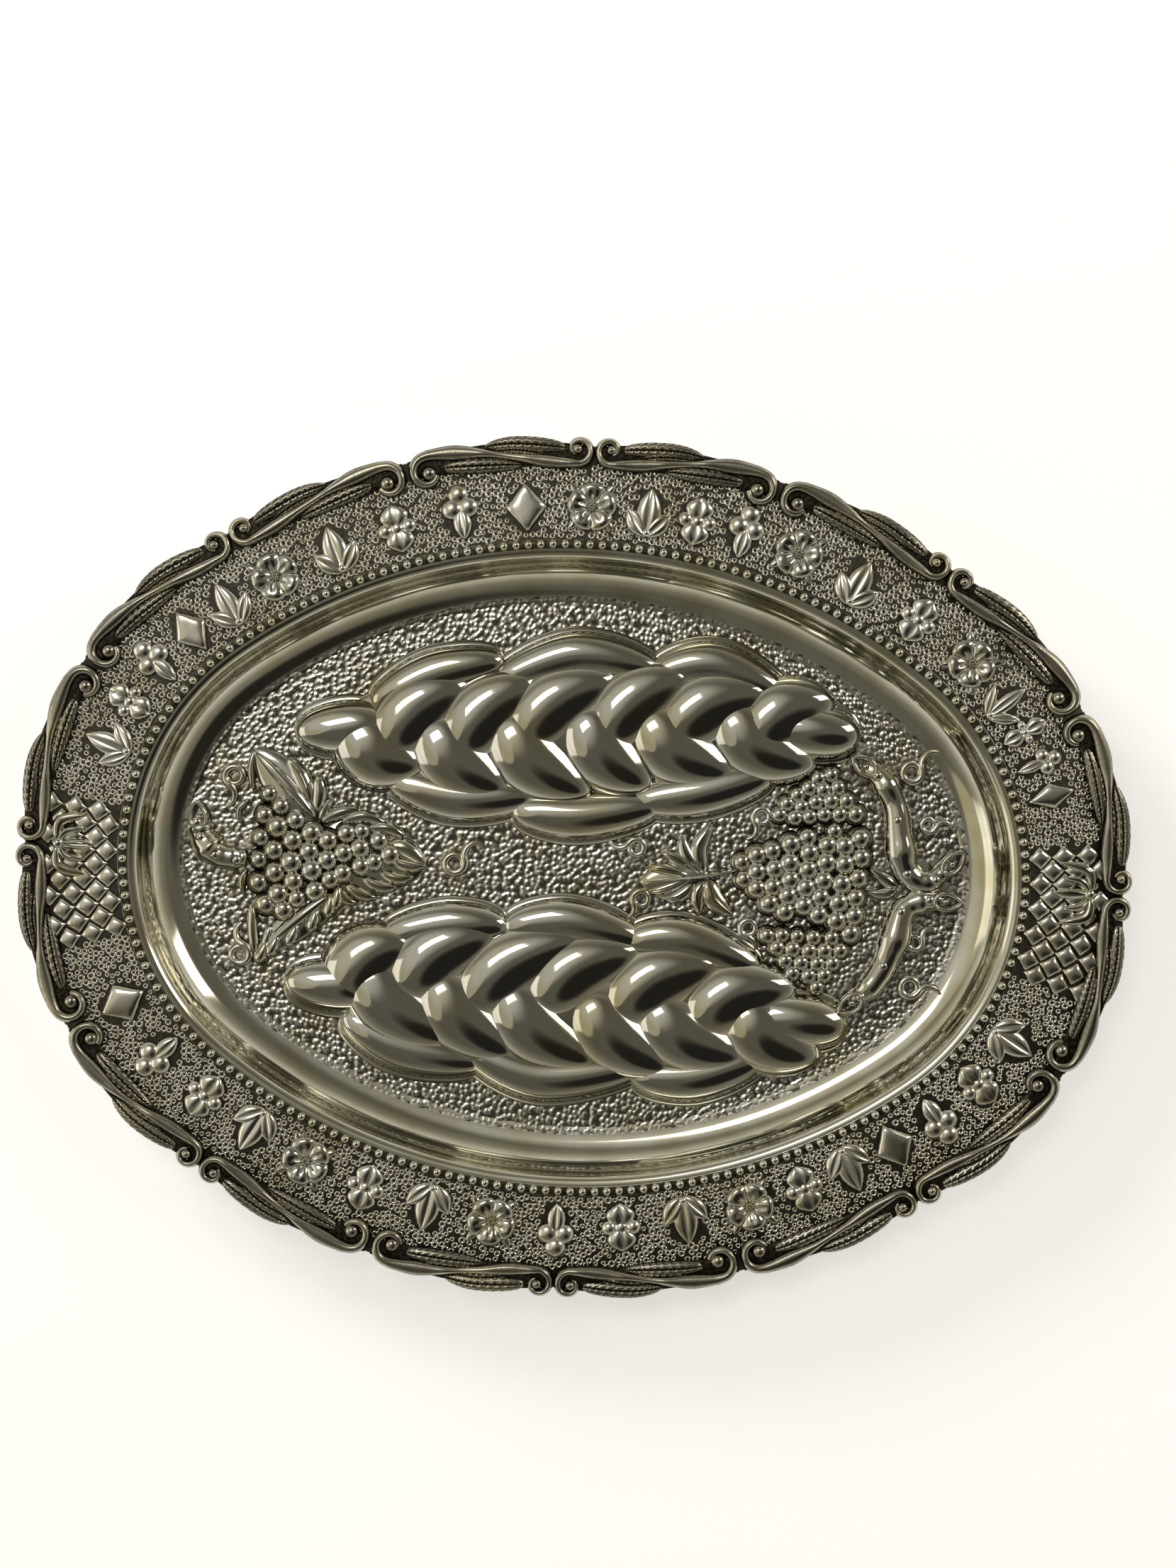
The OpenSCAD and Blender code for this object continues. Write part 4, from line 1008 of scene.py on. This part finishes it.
# Each berry: x, y and half its width
BUNCHES = {
    "left": [
        (-113.6, 21.4, 2.8), (-109.0, 17.0, 3.0), (-114.9, 13.4, 3.0), (-109.8, 9.3, 3.6),
        (-103.3, 12.1, 3.2), (-115.8, 5.1, 2.9), (-110.7, 0.7, 3.3), (-104.0, 4.6, 3.4),
        (-97.3, 7.7, 3.4), (-116.2, -3.1, 2.9), (-104.2, -3.4, 3.8), (-97.8, 0.8, 3.4), (-91.1, 5.2, 3.3),
        (-84.4, 8.1, 3.2), (-79.0, 9.1, 2.8), (-72.5, 5.9, 3.2), (-110.0, -7.5, 3.4), (-96.5, -6.0, 3.6),
        (-91.0, -1.9, 3.4), (-85.1, 0.9, 3.3), (-79.2, 2.8, 3.4), (-68.1, 0.9, 3.5), (-73.8, -1.9, 3.1),
        (-116.1, -11.6, 3.2), (-103.0, -10.4, 3.4), (-89.6, -9.0, 3.1), (-85.1, -6.5, 3.2),
        (-78.6, -3.7, 3.2), (-108.5, -15.4, 3.6), (-101.6, -16.7, 3.1), (-94.9, -13.6, 3.4),
        (-113.0, -19.5, 3.3), (-106.3, -21.3, 3.3)],
    "right": [
        (61.7, 4.7, 2.9), (62.7, -1.7, 3.0), (67.0, 7.6, 3.3), (67.3, 1.4, 3.3), (67.6, -4.8, 3.3),
        (72.6, 9.4, 3.1), (73.8, 2.8, 3.3), (73.4, -3.8, 3.3), (72.4, -10.0, 3.4), (79.2, 12.3, 3.4),
        (79.2, 5.3, 3.5), (79.7, -0.9, 3.4), (79.1, -6.8, 3.4), (78.4, -12.7, 3.3), (85.3, 14.9, 3.1),
        (86.1, 9.4, 3.4), (85.9, 3.2, 3.4), (85.5, -3.5, 3.5), (85.1, -10.1, 3.4), (95.1, 17.8, 2.7),
        (92.7, 12.4, 3.4), (92.5, 6.0, 3.5), (91.9, -0.6, 3.4), (91.1, -6.7, 3.3), (90.7, -13.2, 3.3),
        (99.0, 12.5, 3.5), (99.3, 5.9, 3.5), (98.6, -1.4, 3.5), (97.8, -8.4, 3.5), (97.4, -15.2, 3.5),
        (104.7, 15.4, 3.4), (105.4, 8.4, 3.3), (104.6, 0.9, 3.3), (104.0, -6.4, 3.3), (103.9, -13.0, 3.4),
        (102.8, -19.7, 3.3)],
    "upper": [
        (88.2, 36.9, 2.6), (92.9, 38.4, 2.6), (84.9, 33.2, 2.7), (90.2, 32.9, 2.6), (95.6, 33.8, 2.7),
        (80.9, 30.5, 2.6), (77.2, 27.1, 2.6), (82.6, 26.2, 2.6), (87.6, 28.2, 2.6), (93.2, 28.9, 2.8),
        (98.9, 29.1, 2.9), (74.7, 22.8, 2.7), (80.3, 22.0, 2.7), (85.7, 22.7, 2.6), (90.9, 23.8, 2.6),
        (96.6, 24.1, 2.8), (102.6, 24.4, 3.1)],
    "lower": [
        (72.3, -22.0, 2.8), (77.8, -21.5, 2.6), (76.2, -26.3, 2.7), (81.9, -26.4, 2.8),
        (83.4, -21.6, 2.5), (89.3, -21.8, 2.7), (96.0, -21.6, 2.7), (87.9, -26.8, 2.8),
        (93.6, -26.4, 2.8), (99.4, -26.2, 2.7), (79.4, -30.9, 2.6), (85.2, -31.3, 2.7),
        (91.2, -31.3, 2.7), (96.8, -31.0, 2.7), (82.3, -35.4, 2.6), (88.2, -36.0, 2.7),
        (94.0, -35.5, 2.7), (91.5, -40.2, 2.6)],
}
for name, berries in BUNCHES.items():
    berries = np.array(berries)
    far = np.linalg.norm(berries[:, :2] - berries[:, :2].mean(0), axis=1)
    lift = (1.3 + 1.7 * (1 - (far / far.max()) ** 2)) * berries[:, 2] / 3.3
    spots = np.column_stack([berries[:, :2], FLOOR_Z + lift])
    berry_carrier = carrier_mesh("berries", spots, swell=berries[:, 2] * BERRY_SWELL)
    grow(f"grapes_{name}", berry_carrier, tree, [f"{name}_bunch"], Shape=berry, Finish=BURNISHED)
    # The dark backing shows as thin dark lines between the berries: partly patina, partly painted shade in
    # the gaps
    backing = [button((x, y), BACKING_SWELL * r, h + BACKING_H, FLOOR_Z)
               for (x, y, r), h in zip(berries, lift)]
    make_piece(f"bunch_backing_{name}", backing, CAST, [f"{name}_bunch"])
    print(name, "bunch:", len(berries), "berries")
bpy.data.objects.remove(berry)

# %% [markdown]
# ## Vine leaves, branches and tendrils
# A vine leaf is built up from blades. A broad low blade is the body of the leaf. Narrow ones along its
# edge are the lobes, most with a cut midrib. On one leaf a row of short slanting ones makes a rope-like
# margin. Branches are thick rods with knots, and each ends in a cut face with a raised ring. Tendrils
# are thin rods that close into a ring and run out in a curl.

# %% Blades of the leaves


def blade(points, half, height, vein, peak=0.45):
    """A smooth blade along a path, from its stalk to its pointed tip."""
    return raised(curve(points, 26), half * plump(26, peak, 0.6, 0.85), height * plump(26, peak, 0.35, 0.4),
                  FLOOR_Z, 2.0, 16, midrib(vein, 0.12))


# Each blade: its path, its half-width, its height and the depth of its midrib
VINE_LEAVES = {
    "left_leaf_top": [
        ([(-94.5, 11), (-105.5, 23), (-120.0, 37.6)], 9.0, 2.6, 0.0),
        ([(-96, 13), (-107.5, 25.5), (-119.6, 36.6)], 3.0, 4.4, 0.0),
        ([(-98, 17.5), (-102, 27.5), (-107.8, 35)], 3.8, 3.6, 0.35),
        ([(-96, 15), (-95.0, 23.5), (-96.4, 29.4)], 3.2, 3.4, 0.35),
        ([(-94.6, 12), (-92.3, 17.2), (-89.8, 21)], 2.0, 3.0, 0.3),
        ([(-119.6, 22), (-120.8, 30), (-120.2, 37)], 1.6, 3.0, 0.0),
        ([(-121, 19), (-124.6, 14.4), (-123.2, 8.6)], 1.5, 2.6, 0.0)],
    "left_leaf_side": [
        ([(-95, -1), (-78, -0.5), (-54.4, -2.4)], 15.5, 1.4, 0.0),
        ([(-94, 11.6), (-87.2, 15.4), (-79.2, 17.4)], 2.9, 3.6, 0.3),
        ([(-86.5, 12), (-78.5, 14.6), (-69.6, 12.4)], 2.9, 3.6, 0.3),
        ([(-77, 10), (-69.2, 10.6), (-62.3, 7.6)], 2.8, 3.5, 0.3),
        ([(-69, 4.6), (-61.9, 3.4), (-54.3, -2.3)], 3.6, 3.8, 0.25),
        ([(-87, -12), (-83.5, -16.4), (-79.0, -17.6)], 2.3, 3.2, 0.3),
        ([(-84, -10.6), (-77.8, -14.4), (-71.8, -15.2)], 2.7, 3.5, 0.3),
        ([(-78, -8), (-70.8, -11.2), (-64.6, -10.9)], 2.7, 3.5, 0.3),
        ([(-71.5, -5.6), (-64.8, -7.8), (-58.9, -6.8)], 2.6, 3.4, 0.3),
        ([(-67.5, -1), (-60.9, -3.0), (-54.2, -2.6)], 2.6, 3.4, 0.25)],
    "left_leaf_bottom": [
        ([(-87, -15), (-101, -26), (-115.7, -38.6)], 6.5, 1.9, 0.0),
        ([(-89, -14.5), (-102, -25.5), (-115.2, -38)], 3.0, 3.6, 0.0),
        ([(-117.8, -20), (-117.4, -30), (-115.8, -38.8)], 2.4, 3.2, 0.3),
        ([(-120.6, -6.5), (-122.3, -11.6), (-121, -17.6)], 1.5, 2.6, 0.0),
        ([(-111, -27), (-112.4, -33.5), (-115.2, -38.4)], 2.2, 3.0, 0.0)],
    "right_leaf": [
        ([(50, -1), (37, -3.6), (24.6, -4.6)], 7.6, 2.4, 0.0),
        ([(48, -0.6), (45.4, 8.4), (50.2, 18.2)], 3.9, 3.6, 0.4),
        ([(47.6, -0.6), (41.2, 6.4), (39.0, 13.8)], 3.4, 3.5, 0.4),
        ([(49.2, -2.2), (51.8, -9.0), (59.2, -15.4)], 4.6, 3.6, 0.4),
        ([(48.2, -3), (46.0, -8.6), (47.3, -15.2)], 3.3, 3.5, 0.4),
        ([(45, -3.6), (39.6, -8.8), (34.0, -10.6)], 2.9, 3.3, 0.35),
        ([(45.4, 0), (37.8, 4.6), (32.0, 7.0)], 2.9, 3.3, 0.35),
        ([(44, -2), (34, -6.4), (27.6, -8.2)], 2.6, 3.3, 0.35),
        ([(43, -1.6), (33, 0.6), (26.4, 0.8)], 2.6, 3.3, 0.35),
        ([(60.5, 1.8), (48, -1.3), (26, -4.3)], 1.0, 4.4, 0.0)],
    "right_bracts": [
        ([(119.5, -1.8), (114.6, 1.0), (108.8, 4.8)], 2.8, 3.2, 0.35),
        ([(119.5, -2.6), (114.4, -4.6), (107.8, -4.2)], 2.4, 3.0, 0.35)],
}
ROPE = curve([(-86.6, -16.2), (-93, -23.2), (-101, -29.8), (-109, -34.8), (-114.6, -38.4)], 60)
for node, blades in VINE_LEAVES.items():
    parts = [blade(*one) for one in blades]
    if node == "left_leaf_bottom":
        for i in range(5, 56, 9):
            ahead, out = way_and_left(ROPE[i + 2] - ROPE[i - 2])
            way = 0.9 * ahead + 0.44 * out
            path = [ROPE[i] - 5.0 * way - 1.0 * out, ROPE[i], ROPE[i] + 4.2 * way + 0.6 * out]
            parts.append(blade(path, 2.9, 4.2, 0.0, 0.6))
    make_piece(f"vine_{node}", parts, BURNISHED, [node])

# %% Branches
BRANCH_HALF, BRANCH_H, BRANCH_STEPS = 5.2, 5.6, 64


def cut_end(at, toward):
    """The raised ring round the cut face of a branch, drawn out to a point on one side."""
    a = np.linspace(0, 2 * math.pi, 33)
    r = 1 + 0.35 * np.exp(-(np.minimum(a, 2 * math.pi - a) / 0.5) ** 2)
    way, side = way_and_left(toward)
    path = at + (4.2 * r * np.cos(a))[:, None] * way + (3.0 * r * np.sin(a))[:, None] * side
    return [raised(path, 1.0, 2.2, FLOOR_Z + 3.6, across=8), button(at, 1.3, 1.2, FLOOR_Z + 3.8, 8)]


for node, points in BRANCHES.items():
    path = curve(points, BRANCH_STEPS)
    u = np.linspace(0, 1, BRANCH_STEPS + 1)
    knots = 1 + 0.14 * np.sin(u * 29) * np.sin(u * 13 + 1) ** 2 + 0.12 * np.cos(u * 2 * math.pi) ** 4
    ends = plump(BRANCH_STEPS, 0.5, 0.22, 0.22)
    parts = [raised(path, BRANCH_HALF * ends * knots, BRANCH_H * ends * knots, FLOOR_Z, 2.4, 16)]
    parts += cut_end(path[4], path[0] - path[6])
    if node != "left_stem":
        parts += cut_end(path[-5], path[-1] - path[-7])
    for i in range(14, BRANCH_STEPS - 12, 12):
        spot = path[i] + 0.8 * np.array([math.sin(i * 2.1), math.cos(i * 1.7)])
        parts.append(button(spot, 2.0, 1.5, FLOOR_Z + 4.4 * knots[i]))
    make_piece(f"wood_{node}", parts, BURNISHED, [node])

# %% Tendrils
CURL_R = 4.4


def tendril():
    """A ring of a little over a turn that runs out into a short curl."""
    r = 2.7 + 0.9 * np.linspace(0, 1, 44) ** 1.5
    coil = arc((0, 0), r, np.radians(np.linspace(-400, 0, 44)))
    tail = arc((TENDRIL_R + CURL_R, 0), CURL_R, np.radians(np.linspace(180, 55, 18))[1:])
    half = np.concatenate([np.linspace(1.1, 1.6, 44), np.linspace(1.6, 0.7, 17)])
    return raised(np.concatenate([coil, tail]), half, 1.15 * half, 0.25, across=8)


for node, places in TENDRILS.items():
    parts = []
    for x, y, turn, size in places:
        points, faces, hollow = tendril()
        parts += moved_to([(points * size, faces, hollow)], (x, y), math.radians(turn + 180), FLOOR_Z)
    make_piece(f"curls_{node}", parts, PLAIN, [node])

# %% [markdown]
# ## Floor, light and camera
# The tray lies on a white table in a pale room. Metal shows what surrounds it, so the room matters: it is
# bright and warm near the horizon and darker overhead, with a dark mass, a wall and a patch of daylight.
# Three soft lamps give the glints, and a low fourth one gives the shadow. The camera sees white behind
# the table, and the table is white too, but still takes the tray's shadow.

# %% The table
# The paper adds a glow where the camera or the metal sees it
GLOW = 0.49
bpy.ops.mesh.primitive_circle_add(vertices=96, radius=9.0, fill_type="NGON", location=(0, 0, -0.0004))
table = bpy.context.object
table.name = "table"
white = bpy.data.materials.new("white_paper")
white.use_nodes = True
tree = white.node_tree
tree.nodes.remove(tree.nodes["Principled BSDF"])
paper = add(tree, "ShaderNodeBsdfDiffuse", {"Color": to_linear("#f4f3f0")})
ray = add(tree, "ShaderNodeLightPath").outputs
seen = reckon(tree, "MAXIMUM", ray["Is Camera Ray"], ray["Is Glossy Ray"])
glow = add(tree, "ShaderNodeEmission", {"Strength": reckon(tree, "MULTIPLY", seen, GLOW)})
together = add(tree, "ShaderNodeAddShader", {0: paper, 1: glow})
tree.links.new(together.outputs[0], tree.nodes["Material Output"].inputs["Surface"])
table.data.materials.append(white)

# %% The room
world = bpy.data.worlds.new("pale_room")
bpy.context.scene.world = world
world.use_nodes = True
tree = world.node_tree
way = add(tree, "ShaderNodeTexCoord").outputs["Generated"]
height = add(tree, "ShaderNodeSeparateXYZ", {0: way}).outputs["Z"]
room = add(tree, "ShaderNodeValToRGB", {"Fac": height})
stops = [(0.0, "#f4f3ee"), (0.2, "#cdc9ba"), (0.45, "#928d7d"), (0.75, "#6a665b"), (1.0, "#6e6b61")]
ramp = room.color_ramp
while len(ramp.elements) < len(stops):
    ramp.elements.new(0.5)
for element, (spot, colour) in zip(ramp.elements, stops):
    element.position = spot
    element.color = to_linear(colour)
# Each patch: the way toward it, the angles where it begins and is full, and its colour
PATCHES = [
    # Something dark stands by the camera, to the lower right
    ((0.34, -0.355, 0.871), 24, 14, "#2b2926"),
    # A plain beige wall stands at the left, and its edge shows as a crisp line in every round form
    ((-0.66, 0.05, 0.75), 28, 27, "#c3bba0"),
    # Soft daylight from the upper left reaches nearly overhead
    ((-0.36, 0.36, 0.86), 34, 12, "#d6d2c6"),
]
lit = room
for toward, begins, full, colour in PATCHES:
    middle = Vector(toward).normalized()
    facing = add(tree, "ShaderNodeVectorMath", {0: way, 1: middle}, operation="DOT_PRODUCT")
    outer, inner = math.cos(math.radians(begins)), math.cos(math.radians(full))
    share = soft_step(tree, facing.outputs["Value"], outer, inner)
    lit = blend(tree, share, lit, to_linear(colour))
# The camera itself sees plain white behind the table
ROOM_LEVEL, SEEN_WHITE = 0.84, (1.2, 1.2, 1.2, 1.0)
ray = add(tree, "ShaderNodeLightPath").outputs
shown = blend(tree, ray["Is Camera Ray"], lit, SEEN_WHITE)
tree.links.new(shown, tree.nodes["Background"].inputs["Color"])
tree.nodes["Background"].inputs["Strength"].default_value = ROOM_LEVEL
print("patches in the room:", len(PATCHES))

# %% The lamps


def soft_lamp(name, at, size, watts, colour):
    """A rectangle of light that looks at the middle of the tray."""
    lamp = bpy.data.lights.new(name, "AREA")
    lamp.shape = "RECTANGLE"
    lamp.size, lamp.size_y = size
    lamp.energy = watts
    lamp.color = to_linear(colour)[:3]
    holder = new_object(name, lamp)
    holder.location = at
    holder.rotation_euler = (Vector((0, 0, 0)) - Vector(at)).to_track_quat("-Z", "Y").to_euler()
    return holder


soft_lamp("window", (-0.42, 0.62, 1.5), (0.66, 0.4), 2.4, "#fffdf8")
soft_lamp("wall", (-1.5, -0.2, 0.7), (1.1, 0.8), 2.2, "#fffaf2")
soft_lamp("far_wall", (1.2, 0.8, 0.9), (0.5, 0.9), 4.0, "#fffaf2")
# A low light from the upper left gives the table its long soft shadow; the silver doesn't show it
low = soft_lamp("low_window", (-2.7, 2.6, 1.15), (1.3, 0.9), 84.0, "#ffffff")
low.visible_glossy = False
print("lamps:", [lamp.name for lamp in bpy.data.lights])

# %% The camera
# The photograph looks almost square onto the tray. As the tray lies flat here, the camera hangs 0.9 m
# over it, turned by about three degrees. The image is taken as 1659 by 2212.
camera = bpy.data.cameras.new("camera")
camera.sensor_fit = "VERTICAL"
camera.sensor_height = 36.0
camera.lens = 56.6
eye = new_object("camera", camera)
eye.location = (0.0038, 0.0505, 0.911)
look_at = Vector((0.0036, 0.0309, RIM_Z * MM))
back = (eye.location - look_at).normalized()
roll = math.radians(2.85)
up = Vector((-math.sin(roll), math.cos(roll), 0))
right = up.cross(back).normalized()
eye.rotation_euler = Matrix((right, back.cross(right), back)).transposed().to_euler()
bpy.context.scene.camera = eye
bpy.context.scene.view_settings.view_transform = "Standard"
print("camera at", tuple(eye.location))
